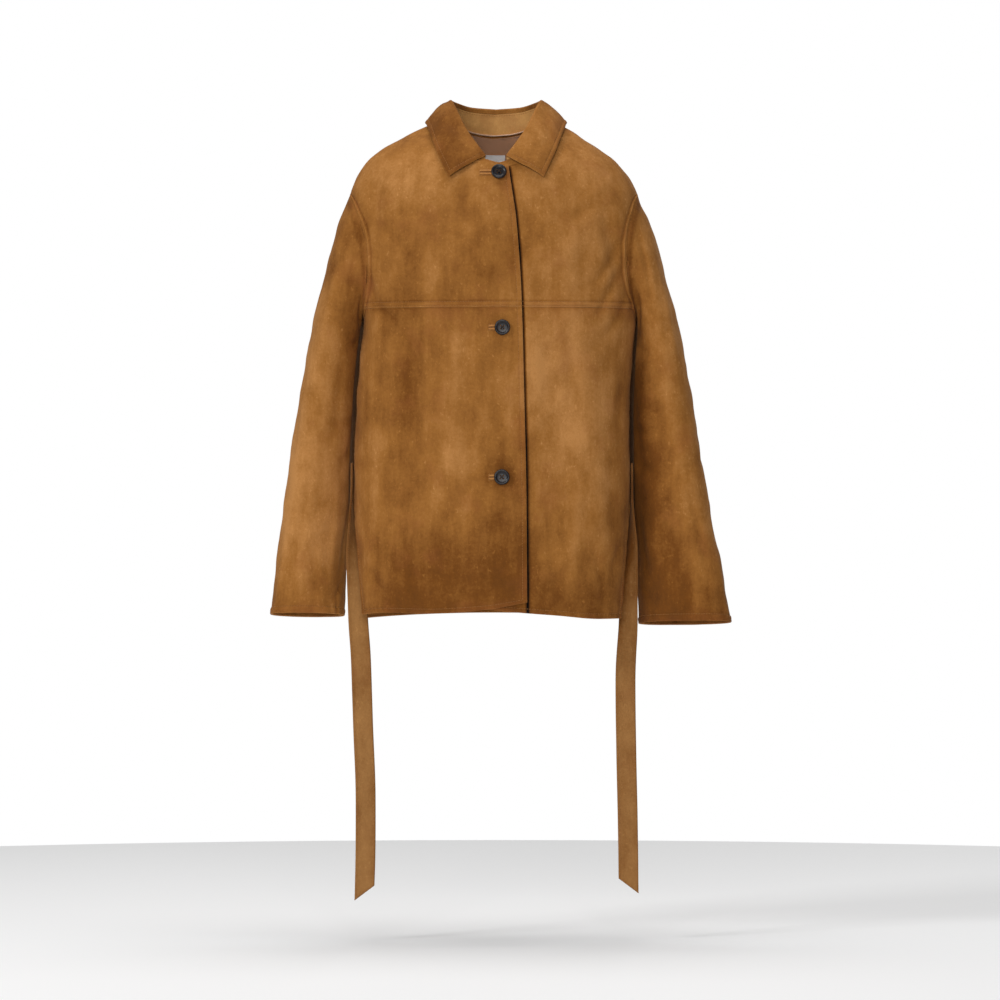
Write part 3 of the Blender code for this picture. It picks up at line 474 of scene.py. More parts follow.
def wall_mesh(name, points, faces, outwards, material, tint, edge, uv=None, wall=WALL):
    """Thicken an outer face into a closed wall: points that coincide are joined, the inner face lies one wall
    inside along the normals, and rims close every open side."""
    points = points.reshape(-1, 3)
    _, first, target = np.unique(np.round(points, 3), axis=0, return_index=True, return_inverse=True)
    faces = target.ravel()[faces]
    faces = faces[(faces != np.roll(faces, 1, axis=1)).all(axis=1)]
    points, outwards = points[first], outwards.reshape(-1, 3)[first]
    tint, edge = tint.ravel()[first], edge.ravel()[first]
    normals = facing(points, faces)
    if np.einsum("ij,ij->", normals, outwards) < 0:
        faces, normals = faces[:, ::-1], -normals
    count = len(points)
    sides = np.concatenate([faces[:, [i, (i + 1) % 4]] for i in range(4)])
    forward = sides[:, 0] * count + sides[:, 1]
    open_side = ~np.isin(forward, sides[:, 1] * count + sides[:, 0])
    start, end = sides[open_side].T
    rims = np.stack([end, start, start + count, end + count], -1)
    everything = np.concatenate([points, points - wall * normals])
    all_faces = np.concatenate([faces, faces[:, ::-1] + count, rims])
    attributes = (("tint", np.tile(tint, 2)), ("edge", np.tile(np.clip(edge / EDGE_REACH, 0, 1), 2)))
    flat = None if uv is None else np.tile(uv.reshape(-1, 2)[first], (2, 1))
    item = add_mesh(name, everything, all_faces, material, attributes, flat)
    return item


def between(at, places, rows):
    """Read a list of points or directions in a straight line between its places."""
    return np.stack([np.interp(at, places, column) for column in rows.T], -1)


def at_grid(grid, row, column):
    """Read a grid of points between its rows and columns."""
    row = np.clip(row, 0, grid.shape[0] - 1.001)
    column = np.clip(column, 0, grid.shape[1] - 1.001)
    r, c = row.astype(int), column.astype(int)
    down, over = (row - r)[:, None], (column - c)[:, None]
    upper = grid[r, c] * (1 - over) + grid[r, c + 1] * over
    return upper * (1 - down) + (grid[r + 1, c] * (1 - over) + grid[r + 1, c + 1] * over) * down


STITCH_PITCH = 3.6          # from one stitch to the next
STITCH_LENGTH = 2.7
THREAD_RADIUS = 0.34


def thread_material(name, colour):
    """Twisted sewing thread: a flat tone with fine slanting plies in its bump."""
    material, tree, shader = new_material(name, Roughness=0.6, Specular_IOR_Level=0.15)
    plies = node(tree, "ShaderNodeTexNoise", in_Scale=900.0, in_Detail=1.0)
    place = node(tree, "ShaderNodeTexCoord")
    darker = tuple(0.55 * channel for channel in colour)
    bump = node(tree, "ShaderNodeBump", in_Strength=0.4, in_Distance=0.0002)
    link(tree, (place.outputs["Object"], plies.inputs["Vector"]),
         (plies.outputs["Fac"], bump.inputs["Height"]),
         (mixed(tree, plies.outputs["Fac"], darker, colour), shader.inputs["Base Color"]),
         (bump.outputs[0], shader.inputs["Normal"]))
    return material


tan_thread = thread_material("tan_thread", (0.44, 0.20, 0.060))


def stitches(name, lines, pitch=STITCH_PITCH, length=STITCH_LENGTH, radius=THREAD_RADIUS):
    """Rows of stitches as one mesh: each is a short six-sided grain that dips into the cloth at both ends.
    A line is a pair of arrays, points on the cloth and the cloth's normals there."""
    steps = np.array([-1, -0.65, 0, 0.65, 1])       # places along a stitch, and its girth there
    girth = np.array([0.3, 0.85, 1, 0.85, 0.3])
    angle = np.linspace(0, 2 * math.pi, 6, endpoint=False)
    centres, ways, ups = [], [], []
    for points, normals in lines:
        run = walked(points, 0)
        count = max(1, int(run[-1] / pitch))
        middle = (np.arange(count) + 0.5) * run[-1] / count
        centres.append(between(middle, run, points))
        before, after = (between(middle + shift, run, points) for shift in (-length / 2, length / 2))
        ways.append(unit(after - before))
        ups.append(unit(between(middle, run, normals)))
    centre, way, up = np.concatenate(centres), np.concatenate(ways), np.concatenate(ups)
    side = np.cross(way, up)
    height = radius * (0.75 - 0.9 * steps ** 2)
    upwards = height[:, None] + radius * girth[:, None] * np.sin(angle)
    sideways = radius * girth[:, None] * np.cos(angle)
    ring = (centre[:, None, None] + way[:, None, None] * (steps * length / 2)[None, :, None, None]
            + up[:, None, None] * upwards[None, :, :, None] + side[:, None, None] * sideways[None, :, :, None])
    body_faces = quads(len(steps), len(angle), closed=True)
    per_stitch = len(steps) * len(angle)
    shift = np.arange(len(centre))[:, None, None] * per_stitch
    faces = (body_faces[None] + shift).reshape(-1, 4).tolist()
    caps = np.stack([np.arange(len(angle)), per_stitch - 1 - np.arange(len(angle))])
    faces += (caps[None] + shift).reshape(-1, len(angle)).tolist()
    item = add_mesh(name, ring, faces, tan_thread)
    return item


# Where the fronts are cut: heights above the back neck seam, and distances from the middle of the body.
NECK_POINT_Z = 26.5
COLLAR_END_Z = -36.5
FRONT_CORNER_Z = -44.5
SHOULDER_TIP_Z = -81.0
ARMPIT_Z = -253.0
ARMHOLE_MIDDLE_Z = (SHOULDER_TIP_Z + ARMPIT_Z) / 2
ARMHOLE_HALF = (SHOULDER_TIP_Z - ARMPIT_Z) / 2
ARMHOLE_FRONT = 57.0        # how far the armhole reaches forwards, and backwards
ARMHOLE_BACK = 62.0
YOKE_SHARE = 10 / 12        # of the way down the armhole, where the yoke seam meets it
VENT_TOP_Z = -484.0
HEM_Z = -665.0
HEM_BEND_Z = -560.0         # from here down the rows bend to the hem's own line
UNDER_EDGE_X = -18.0
OVERLAP_LIFT = 3.2
OVERLAP_RISE = (-44.0, -24.0)    # x where the right front begins to rise over the left one, and where it has
ROW_STEP = 4.0
FRONT_COLUMNS = 46

# Edges as pairs of a height and a place across, and hems as pairs of a place across and a rise.
NECK_FRONT = ((-44.5, -17), (-41, 0), (-36.5, 15.5), (-31, 25), (-20, 39), (-5, 52), (10, 62), (20, 67),
              (26.5, 70))
FRONT_EDGE = ((-690, 43), (-508, 42), (-368, 39), (-222, 35), (-116, 27.5), (-88, 23.5), (-44.5, 17))
RIGHT_HEM = ((-190, -3), (-155, 1), (-95, 0), (-8, 6), (14, 10), (43, 15.5))
LEFT_HEM = ((-18, 6), (35, 1), (86, -3), (145, -8), (180, -8))
VENT_FRONT_Y = ((-690, -44), (-600, -30), (-520, -12), (-484, -0.2))

FRONT_FOLDS = (             # x_top, z_top, x_low, z_low, half_width, depth
    (-116, -200, -128, -560, 26, 8.0), (-58, -230, -62, -600, 22, -3.0), (70, -290, 84, -650, 24, 3.5),
    (128, -260, 140, -640, 24, -3.0), (150, -95, 176, -225, 12, 5.0), (-166, -60, -172, -150, 12, 5.0),
)
FRONT_CREASES = (           # x, z of each end, half_width, depth, bow
    (-186, -172, -150, -262, 7, 2.6, 4), (-170, -120, -120, -176, 9, 1.5, -5),
    (-146, -96, -70, -118, 12, 1.2, 5), (-184, -226, -128, -276, 6, 1.6, -3),
    (-96, -150, -86, -232, 14, -1.4, 4), (-40, -96, -18, -168, 9, 1.1, -4),
    (-164, -288, -156, -420, 12, 2.2, 5), (-150, -430, -164, -560, 11, 1.9, -4),
    (-92, -262, -98, -400, 9, -1.6, 3), (-30, -250, -44, -330, 6, 1.5, 3),
    (-58, -280, -22, -300, 5, 1.2, 2), (-20, -440, -46, -500, 6, 1.4, -3),
    (-74, -470, -60, -610, 10, 1.6, 4), (-120, -560, -112, -650, 8, 1.6, 2),
    (-22, -520, -30, -640, 9, -1.3, -3), (-176, -600, -150, -640, 5, 1.3, 2), (8, -330, 2, -440, 7, 1.0, 2),
    (18, -500, 22, -620, 6, -1.0, -2), (176, -140, 132, -214, 7, 2.4, -5),
    (186, -176, 138, -262, 6, 2.6, 4), (184, -214, 150, -286, 5, 2.0, -3), (150, -92, 96, -128, 10, 1.3, 4),
    (108, -120, 92, -222, 13, -1.3, -5), (52, -90, 46, -180, 10, 1.1, 3),
    (176, -300, 164, -430, 8, 2.0, -4), (160, -452, 170, -600, 9, 1.8, 4),
    (104, -262, 112, -400, 10, 1.5, 4), (50, -270, 60, -380, 8, -1.2, -3), (54, -430, 50, -560, 8, 1.3, 3),
    (112, -420, 104, -640, 10, -1.5, -4), (76, -560, 92, -652, 7, 1.4, 3),
    (132, -560, 150, -650, 6, 1.5, -2), (178, -560, 160, -610, 5, 1.2, 2),
)
# Painted light and shade among these: the light at x -166 and -57, and the dark at x 178, -128 and -192, where
# sides, folds and a dent face to or from the light.
FRONT_PATCHES = (           # x, z, half_x, half_z, amount
    (-120, -70, 70, 40, 0.16), (-70, -205, 66, 60, -0.14), (-150, -170, 30, 70, 0.08),
    (100, -90, 62, 60, 0.18), (104, -180, 60, 60, 0.17), (104, -320, 74, 110, 0.36),
    (104, -450, 60, 90, 0.16), (-57, -390, 26, 130, 0.20), (-128, -390, 30, 220, -0.26),
    (-86, -650, 130, 130, -0.40), (104, -640, 110, 60, -0.16), (-92, -298, 40, 50, -0.14),
    (178, -380, 16, 220, -0.16), (2, -420, 24, 260, -0.10), (4, -55, 22, 16, -0.20),
    (8, -270, 20, 18, -0.34), (8, -476, 20, 18, -0.30), (-192, -150, 20, 80, -0.14),
    (-166, -380, 12, 200, 0.12),
)


def levels(top, bottom, near_top=(0,), near_bottom=(0,), step=ROW_STEP, fixed=()):
    """Heights of a panel's rows: fixed distances from its top and bottom edges, and an even step between."""
    first = top - np.array(near_top)
    last = bottom + np.array(near_bottom[::-1])
    count = max(2, int((first[-1] - last[0]) / step))
    rows = np.concatenate([first, np.linspace(first[-1], last[0], count + 1)[1:-1], last, fixed])
    return np.unique(rows)[::-1]


def armhole_levels(top_share, bottom_share, steps=96):
    """Heights along the armhole at even angles round its ellipse, between two shares of the way down."""
    angle = np.linspace(0, math.pi, steps + 1)
    angle = angle[(angle >= top_share * math.pi - 1e-6) & (angle <= bottom_share * math.pi + 1e-6)]
    return ARMHOLE_MIDDLE_Z + ARMHOLE_HALF * np.cos(angle)


def side_end_y(z, front):
    """Where a row ends at the side: the shoulder seam, the armhole's ellipse, the side seam or the vent."""
    if z < VENT_TOP_Z:
        return float(pair(z, VENT_FRONT_Y if front else VENT_BACK_Y))
    reach = math.sqrt(max(0, 1 - ((z - ARMHOLE_MIDDLE_Z) / ARMHOLE_HALF) ** 2))
    reach *= ARMHOLE_FRONT if front else ARMHOLE_BACK
    return max(reach, SEAM_GAP / 2) * (-1 if front else 1)


def front_start_x(z, side):
    """Where a front's row starts: on the neckline, and below its corner on the front's own edge."""
    if z >= FRONT_CORNER_Z:
        return side * float(pair(z, NECK_FRONT))
    return float(pair(z, FRONT_EDGE)) if side < 0 else UNDER_EDGE_X


def front_run(z, side):
    """Distances of a row's first columns: the left front also has close ones along the right front's edge."""
    if side < 0:
        return TURNED
    covered = float(pair(min(z, FRONT_CORNER_Z), FRONT_EDGE)) - UNDER_EDGE_X
    return (*TURNED, *UNDER_COLUMNS, *(covered + np.array(BESIDE_EDGE)))


def overlap_lift(x, side):
    """The wearer's right front rises over the edge of the left one, in a smooth step."""
    start, end = OVERLAP_RISE
    rise = np.clip((x - start) / (end - start), 0, 1)
    return OVERLAP_LIFT * rise * rise * (3 - 2 * rise) * (side < 0)


def front_surface(rows, side, seam_z):
    """A front panel's outer face before its edges are worked, with its distances from edge, side and seam."""
    made = [ring_row(z, side, front_start_x(z, side), True, side_end_y(z, True), front_run(z, side), SEAMED,
                     FRONT_COLUMNS) for z in rows]
    points, from_edge, from_side = (np.array(item) for item in zip(*made))
    normals = body_normal(points)
    x, z = points[..., 0], points[..., 2]
    lift = overlap_lift(x, side) + long_folds(x, z, FRONT_FOLDS) + creases(x, z, FRONT_CREASES)
    lift += unevenness(points) * calm(np.minimum(from_edge, from_side))
    from_seam = np.abs(z - seam_z)
    share = np.clip((HEM_BEND_Z - rows) / (HEM_BEND_Z - HEM_Z), 0, 1) ** 1.5
    hem = pair(x[-1], RIGHT_HEM if side < 0 else LEFT_HEM)
    return points, normals, lift, from_edge, from_side, from_seam, share[:, None] * hem[None, :]


def grid_line(grid, normals, rows, columns):
    """Points and normals where stitches run across a grid."""
    rows, columns = np.broadcast_arrays(np.asarray(rows, float), np.asarray(columns, float))
    return at_grid(grid, rows, columns), at_grid(normals, rows, columns)


def near_column(distances, wanted):
    """For each row, the fractional column at a wanted distance from its first edge."""
    return np.array([np.interp(wanted, row, np.arange(len(row))) for row in distances])


def far_column(distances, wanted):
    """For each row, the fractional column at a wanted distance from its last edge."""
    return distances.shape[1] - 1 - near_column(distances[:, ::-1], wanted)


def level_line(grid, normals, heights, z, first=0):
    """Stitches that run along one height of a grid, from its first or a later column."""
    columns = np.arange(first, grid.shape[1])
    return grid_line(grid, normals, near_column(-heights.T, -z)[columns], columns)


def upright_line(grid, normals, rows, top, low, columns):
    """Stitches that run down a grid between two heights, at a fractional column for each row."""
    chosen = np.flatnonzero((rows < top) & (rows > low))
    return grid_line(grid, normals, chosen, columns[chosen])


tan_suede = suede("tan_suede", mottle=1.2)
# Painted light and shade that follow the relief: hollows painted darker, ridges painted lighter.
CREASE_PAINTED_SHADE = 0.07          # how much darker a hollow is, and a ridge lighter, for each mm
YOKE_Z = float(armhole_levels(YOKE_SHARE, YOKE_SHARE)[0])
DOUBLE_ROW = (1.9, 7.4)     # how far above the yoke seam its two rows of stitches run
ROW_PINCH = 0.7             # depth and half width of the groove that such a row pulls
YOKE_FULL = 0.65            # how much the turned edge of the yoke is raised above the body
SLIT_RUN = 6.0              # below the vent's top, over which its edges part
SLIT_END = 8.0              # below the vent's top, where its stitches start
CORNER_RUN = 8.0            # about the front's corner, over which its edge becomes a turned one
YOKE_HEM = (0, 0.4, 1.0, 1.6, 2.2, 3.0, 4.6, 6.2, 7.0, 7.8, 8.8, 11)
yoke_rows = np.unique(np.concatenate([
    levels(NECK_POINT_Z, SHOULDER_TIP_Z, (0, 0.6, 1.6, 3), (0,), fixed=(COLLAR_END_Z, FRONT_CORNER_Z)),
    [z for z in armhole_levels(0, YOKE_SHARE) if z > YOKE_Z + YOKE_HEM[-1]],
    YOKE_Z + SEAM_GAP / 2 + np.array(YOKE_HEM)]))[::-1]
panel_rows = np.unique(np.concatenate([
    YOKE_Z - SEAM_GAP / 2 - np.array(SEAMED[:5]), armhole_levels(YOKE_SHARE + 0.06, 1),
    levels(ARMPIT_Z, HEM_Z, (0,), TURNED, fixed=(VENT_TOP_Z, VENT_TOP_Z - 1.5))]))[::-1]

FRONT_CUTS = {              # width, length and area of the flat cut, in metres
    ("right", "yoke"): (0.271, 0.375, 0.0600), ("right", "body"): (0.301, 0.453, 0.1200),
    ("left", "yoke"): (0.260, 0.367, 0.0567), ("left", "body"): (0.276, 0.458, 0.1088),
}
UNDER_COLUMNS = (16, 22, 27, 31)    # columns between the under edge and the line that the right front covers
# Distances of close columns from that line, where the edge of the right front casts its shade.
BESIDE_EDGE = (-3, -1, 0, 0.8, 1.6, 2.4, 3.4, 5, 8)

front_seam_lines = []
for side, owner in ((-1, "right"), (1, "left")):
    for part, rows in (("yoke", yoke_rows), ("body", panel_rows)):
        is_yoke = part == "yoke"
        seam_z = YOKE_Z + (SEAM_GAP / 2 if is_yoke else -SEAM_GAP / 2)
        points, normals, lift, from_edge, from_side, from_seam, hem = front_surface(rows, side, seam_z)
        x, z = points[..., 0], points[..., 2]
        below_corner = np.clip((FRONT_CORNER_Z + CORNER_RUN / 2 - z) / CORNER_RUN, 0, 1)
        slit = np.clip((VENT_TOP_Z - z) / SLIT_RUN, 0, 1)
        by_armhole = armhole_ridge(from_side) * ((z < SHOULDER_TIP_Z) & (z > ARMPIT_Z))
        past_edge = x - pair(z, FRONT_EDGE)
        lift += turned_edge(from_edge, z) * below_corner
        lift += seamed_edge(from_side, z) * (1 - slit) + turned_edge(from_side, z) * slit
        lift += by_armhole
        lift -= 0.8 * np.exp(-((past_edge - 1.0) / 2.5) ** 2) * (side > 0) * below_corner
        if is_yoke:
            lift -= ROW_PINCH * rounded(from_seam, SEAM_ROUND)
            lift += YOKE_FULL / (1 + np.exp((from_seam - DOUBLE_ROW[1]) / ROW_PINCH))
            for inset in DOUBLE_ROW:
                lift -= ROW_PINCH * np.exp(-((from_seam - inset) / ROW_PINCH) ** 2)
            far_edge = from_seam
            # Painted light and shade by the yoke seam: its turned edge painted pale, and a painted shadow just
            # above the upper row of stitches, both wavering along the seam.
            seam_shade_waver = 0.6 + 0.4 * np.sin(x / 23) * np.sin(x / 9 + 1)
            painted_edge_light = 0.20 / (1 + np.exp((from_seam - 6) / 0.8))
            seam_light_and_shade = (painted_edge_light - 0.27 * np.exp(-((from_seam - 8.6) / 1.6) ** 2)) * seam_shade_waver
        else:
            lift += 0.55 * seamed_edge(from_seam, x)
            from_hem = np.broadcast_to((rows - rows[-1])[:, None], x.shape)
            lift += turned_edge(from_hem, x)
            far_edge = np.minimum(from_seam, from_hem)
            # Painted shade on the body panel just below the yoke's raised edge.
            seam_light_and_shade = -0.22 * np.exp(-(from_seam / 2.5) ** 2)
        outer = points + normals * lift[..., None]
        outer[..., 2] += hem
        in_shade = np.exp(-((past_edge - 1.2) / 2.2) ** 2) * (side > 0)
        tint = patches(x, z, FRONT_PATCHES) - 1.7 * in_shade * below_corner
        # Painted light on the swell beside the armhole and painted shade in its trough, with the painted light
        # and shade by the yoke seam.
        tint += 0.30 * by_armhole + seam_light_and_shade
        # Painted shade in the hollows of creases and slow waves, painted light on their ridges.
        tint += CREASE_PAINTED_SHADE * (creases(x, z, FRONT_CREASES) + unevenness(points))
        edge = np.minimum(np.minimum(from_edge, from_side), far_edge)
        panel = wall_mesh(f"suede_{owner}_front_{part}", outer, quads(*x.shape), normals, tan_suede, tint,
                          edge, flat_map(outer))
        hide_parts(f"{owner}_front_{part}")
        width, length, area = FRONT_CUTS[owner, part]
        cloth = outer, fine_normals(outer, quads(*x.shape), normals)
        stitch_z = HEM_Z + STITCH_INSET
        by_edge = near_column(from_edge, STITCH_INSET)
        corner_z = FRONT_CORNER_Z - CORNER_RUN / 2
        front_seam_lines.append(upright_line(*cloth, rows, corner_z, stitch_z, by_edge))
        if is_yoke:
            front_seam_lines += [level_line(*cloth, z, seam_z + inset) for inset in DOUBLE_ROW]
        else:
            front_seam_lines.append(level_line(*cloth, z, stitch_z, int(by_edge[-1])))
            by_side = far_column(from_side, STITCH_INSET)
            front_seam_lines.append(upright_line(*cloth, rows, VENT_TOP_Z - SLIT_END, stitch_z, by_side))
stitches("front_topstitching", front_seam_lines)


# ---------------------------------------------------------------- back
# One whole panel. It meets the fronts along the shoulders and the side seams, and below the vents' tops its
# sides are turned and stitched like its hem, which hangs lower at its corners.

BACK_HEM_Z = -668.0
BACK_BEND_Z = -600.0        # from here down the back's corners drop
BACK_CORNER_X = 190.0
BACK_CORNER_DROP = 7.0
BACK_COLUMNS = 44
NECK_COLUMNS = (0, 0.6, 1.6, 3.2)
BACK_WAVES = 37             # shifts the slow waves, so that the back has its own
NECK_BACK = ((4, 0), (5.5, 20), (9, 38), (15, 54), (21, 64), (26.5, 70))
VENT_BACK_Y = ((-690, 24), (-600, 18), (-560, 15), (-520, 11), (-484, 0.2))
BACK_FOLDS = (              # x_top, z_top, x_low, z_low, half_width, depth
    (-70, -160, -92, -600, 26, 6.0), (64, -200, 88, -640, 24, 5.0), (0, -330, 4, -660, 28, -4.0),
    (-150, -110, -128, -240, 16, 5.0), (150, -110, 126, -250, 16, 5.0),
)
BACK_CREASES = (            # x, z of each end, half_width, depth, bow
    (-186, -168, -140, -270, 7, 2.6, -4), (188, -180, 142, -262, 8, 2.4, 5),
    (-160, -116, -84, -150, 11, 1.6, 6), (156, -110, 92, -156, 12, 1.5, -5), (-60, -40, 54, -46, 9, 1.3, 5),
    (-110, -196, -70, -330, 12, -1.6, 4), (104, -210, 60, -350, 12, -1.4, -5),
    (-170, -300, -160, -440, 10, 2.2, 4), (172, -290, 158, -450, 10, 2.0, -5),
    (-140, -452, -20, -470, 8, 1.5, 6), (30, -462, 140, -446, 8, 1.4, 5),
    (-90, -486, -10, -500, 6, 1.1, -3), (-40, -240, -34, -400, 12, 1.3, 3),
    (30, -180, 36, -330, 13, 1.3, -3), (-150, -520, -160, -640, 8, 1.7, 3),
    (-60, -520, -54, -650, 9, 1.4, -3), (48, -510, 40, -640, 8, -1.4, 3),
    (150, -500, 164, -640, 8, 1.8, -3), (110, -540, 118, -650, 7, 1.3, 2),
    (-112, -560, -104, -656, 7, -1.3, 2), (2, -90, -2, -260, 14, -1.2, 2),
)
BACK_PATCHES = (            # x, z, half_x, half_z, amount
    (0, -90, 130, 60, 0.12), (-80, -260, 60, 90, 0.06), (70, -300, 60, 110, 0.08),
    (0, -640, 220, 70, -0.20), (-180, -300, 24, 150, -0.10), (182, -330, 24, 160, -0.10),
    (-30, -470, 90, 40, -0.06), (20, -400, 30, 160, 0.05),
)

back_rows = np.unique(np.concatenate([
    NECK_POINT_Z - np.array((0, 0.6, 1.6, 3)), np.linspace(21.5, 5.5, 8), [NECK_BACK[0][0]],
    levels(0, SHOULDER_TIP_Z), armhole_levels(0, 1), levels(ARMPIT_Z, BACK_HEM_Z, (0,), TURNED,
                                                            fixed=(VENT_TOP_Z, VENT_TOP_Z - 1.5))]))[::-1]


def back_start_x(z, side):
    """Where a half's row starts: on the back neckline, and below it in the middle of the back."""
    return side * float(pair(z, NECK_BACK)) if z > NECK_BACK[0][0] else float(body("centre_x", z))


def back_surface(rows, inset=0.0):
    """The back's right and left half, set in from the form: points, normals, and distances from both ends."""
    for side in (-1, 1):
        made = [ring_row(z, side, back_start_x(z, side), False, side_end_y(z, False), NECK_COLUMNS, TURNED,
                         BACK_COLUMNS) for z in rows]
        points, from_start, from_side = (np.array(item) for item in zip(*made))
        normals = body_normal(points)
        yield side, points - inset * normals, normals, from_start, from_side


def back_relief(points):
    """The back's folds and creases together, which its lining follows."""
    x, z = points[..., 0], points[..., 2]
    return long_folds(x, z, BACK_FOLDS) + creases(x, z, BACK_CREASES)


def joined(halves):
    """A right and a left half as one piece: its faces, and each of its grids as one list. The left half's
    faces are turned round, because its rows run the other way."""
    rows, columns = halves[0][0].shape[:2]
    faces = quads(rows, columns)
    lists = [np.concatenate([grid.reshape(rows * columns, *grid.shape[2:]) for grid in both])
             for both in zip(*halves)]
    return np.concatenate([faces, faces[:, ::-1] + rows * columns]), lists


back_halves, back_lines = [], []
for side, points, normals, from_start, from_side in back_surface(back_rows):
    x, z = points[..., 0], points[..., 2]
    slit = np.clip((VENT_TOP_Z - z) / SLIT_RUN, 0, 1)
    from_hem = np.broadcast_to((back_rows - back_rows[-1])[:, None], x.shape)
    at_neck = (back_rows > NECK_BACK[0][0])[:, None]
    lift = back_relief(points) + unevenness(points + BACK_WAVES) * calm(from_side)
    side_relief = seamed_edge(from_side, z) * (1 - slit) + turned_edge(from_side, z) * slit
    lift += side_relief + turned_edge(from_hem, x)
    outer = points + normals * lift[..., None]
    low = np.clip((BACK_BEND_Z - z) / (BACK_BEND_Z - BACK_HEM_Z), 0, 1)
    outer[..., 2] -= BACK_CORNER_DROP * low * (x / BACK_CORNER_X) ** 2
    # Painted shade in the hollows of creases and slow waves, painted light on their ridges.
    tint = patches(x, z, BACK_PATCHES) + CREASE_PAINTED_SHADE * (creases(x, z, BACK_CREASES) + unevenness(points))
    edge = np.minimum(from_side, np.where(at_neck, np.minimum(from_start, from_hem), from_hem))
    back_halves.append((outer, normals, tint, edge, flat_map(outer) * (side, 1)))
    cloth = outer, fine_normals(outer, quads(*x.shape), normals)
    stitch_z = BACK_HEM_Z + STITCH_INSET
    by_side = far_column(from_side, STITCH_INSET)
    back_lines += [level_line(*cloth, z, stitch_z),
                   upright_line(*cloth, back_rows, VENT_TOP_Z - SLIT_END, stitch_z, by_side)]
faces, (points, normals, tint, edge, flat) = joined(back_halves)
back = wall_mesh("suede_back", points, faces, normals, tan_suede, tint, edge, flat)
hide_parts("back")
stitches("back_topstitching", back_lines)

# ---------------------------------------------------------------- sleeves
# Each sleeve is one panel rolled into a tube and closed by a seam under the arm. Its head is set into the
# armhole, it hangs just clear of the body's side, and its cuff is turned up and stitched once.

SLEEVE = {                  # columns of the sleeve's rings, from the shoulder tip to the cuff
    "outer_z": (-81, -93, -112, -138, -168, -202, -240, -282, -328, -378, -430, -484, -538, -590, -636, -668),
    "outer_x": (201, 206, 215, 224.5, 232.5, 241, 251.5, 260.5, 269, 278, 286.5, 294, 302, 311.5, 318, 322.5),
    "lean_x": (-3, -3.5, -3, -2, -1.5, -1.5, -0.5, 0, 0, 0, 0, 1, 2.5, 4.5, 5.5, 6.5),
    "inner_z": (-253, -256, -258, -261, -266, -273, -286, -310, -345, -388, -436, -487, -540, -591, -637, -670),
    "inner_y": (2.5, 12, 22, 30, 36, 40, 43, 45, 46, 46, 44, 40, 33, 24, 14, 8),
    "inner_gap": (0, 1, 1.5, 2.5, 3.5, 4.5, 5, 5, 5, 5, 5, 5, 6.5, 9, 9.5, 10),
    "centre_y": (2.5, 4, 6, 8, 10, 12, 13, 14, 14, 13, 10, 6, 1, -5, -9, -11),
    "half_depth": (59.5, 62, 65, 68, 70, 71, 71, 70, 68, 66, 63, 60, 56, 51, 47, 45),
}
HEAD_FADE = (1, 0.72, 0.5, 0.3, 0.15, 0.05, 0)
SLEEVE_ROUNDNESS = 0.9
SLEEVE_CLEAR = 6.0          # least distance from the body's side, reached by 0.7 for each ring
CLEAR_GROWTH = 0.7
CUFF_TILT = 4.0
LEFT_CUFF_DROP = 11.0
HANG_Z = -300.0             # below here the cuffs' tilt and drop come in
RIGHT_SHIFT = 14            # moves the creases on the right sleeve, so that the two differ
SLEEVE_WAVES = 91
AROUND = 150                # columns round a sleeve
GIRTH = 480.0               # the sleeve's mean girth, which its map of creases is drawn on
HEAD_STEP = 12.0            # length of the first and the last stretch between rings
CUFF_STEP = 32.0
CUFF_INSET = 9.5            # of the row of stitches from the cuff's edge

# Creases and patches on the flat sleeve: 0 is its outer line, 120 its front, 240 the seam under the arm.
SLEEVE_CREASES = (          # around, down of each end, half_width, depth, bow
    (70, 10, 118, 92, 10, 1.5, 5), (150, 20, 176, 120, 9, 2.0, -5), (214, 60, 150, 128, 8, 1.8, 5),
    (206, 110, 128, 160, 7, 1.6, -4), (60, 60, 66, 190, 13, -1.4, 4), (120, 150, 112, 330, 13, 1.7, 6),
    (186, 190, 168, 330, 11, 2.0, -5), (216, 240, 120, 262, 7, 1.8, 5), (212, 290, 138, 322, 8, 1.9, -4),
    (60, 270, 128, 300, 10, 1.2, 4), (84, 330, 76, 500, 12, 1.5, -5), (146, 350, 150, 520, 11, -1.7, 4),
    (186, 360, 178, 500, 9, 2.1, 3), (40, 420, 34, 540, 11, -1.2, -3), (108, 430, 120, 560, 9, 1.5, 3),
    (206, 470, 160, 520, 6, 1.6, 3), (176, 506, 170, 572, 4.5, 1.9, 2), (132, 540, 84, 560, 6, 1.1, 2),
    (-60, 40, -110, 150, 11, 1.6, -5), (-150, 70, -206, 120, 8, 1.9, 4),
    (-110, 180, -118, 340, 13, 1.6, -5), (-190, 230, -110, 262, 8, 1.8, -5),
    (-200, 300, -120, 330, 8, 1.7, 4), (-70, 320, -60, 500, 12, 1.4, 4),
    (-150, 380, -156, 540, 10, -1.6, -4), (-30, 200, -36, 330, 14, -1.2, 3),
    (-100, 470, -90, 570, 8, 1.3, 3), (12, 250, 20, 300, 9, 1.0, 2), (-10, 300, 30, 316, 8, 1.0, 3),
)
SLEEVE_PATCHES = (          # around, down, half_around, half_down, amount
    (60, 60, 60, 70, 0.08), (100, 210, 50, 80, 0.10), (40, 320, 60, 90, 0.08), (180, 280, 40, 200, -0.12),
    (120, 560, 160, 60, -0.10), (90, 430, 50, 60, 0.06), (-90, 160, 60, 100, 0.06),
    (-120, 420, 60, 120, -0.06), (0, 10, 240, 26, -0.10), (236, 300, 26, 300, -0.12),
    (-236, 300, 26, 300, -0.12), (30, 300, 40, 200, 0.12),
)
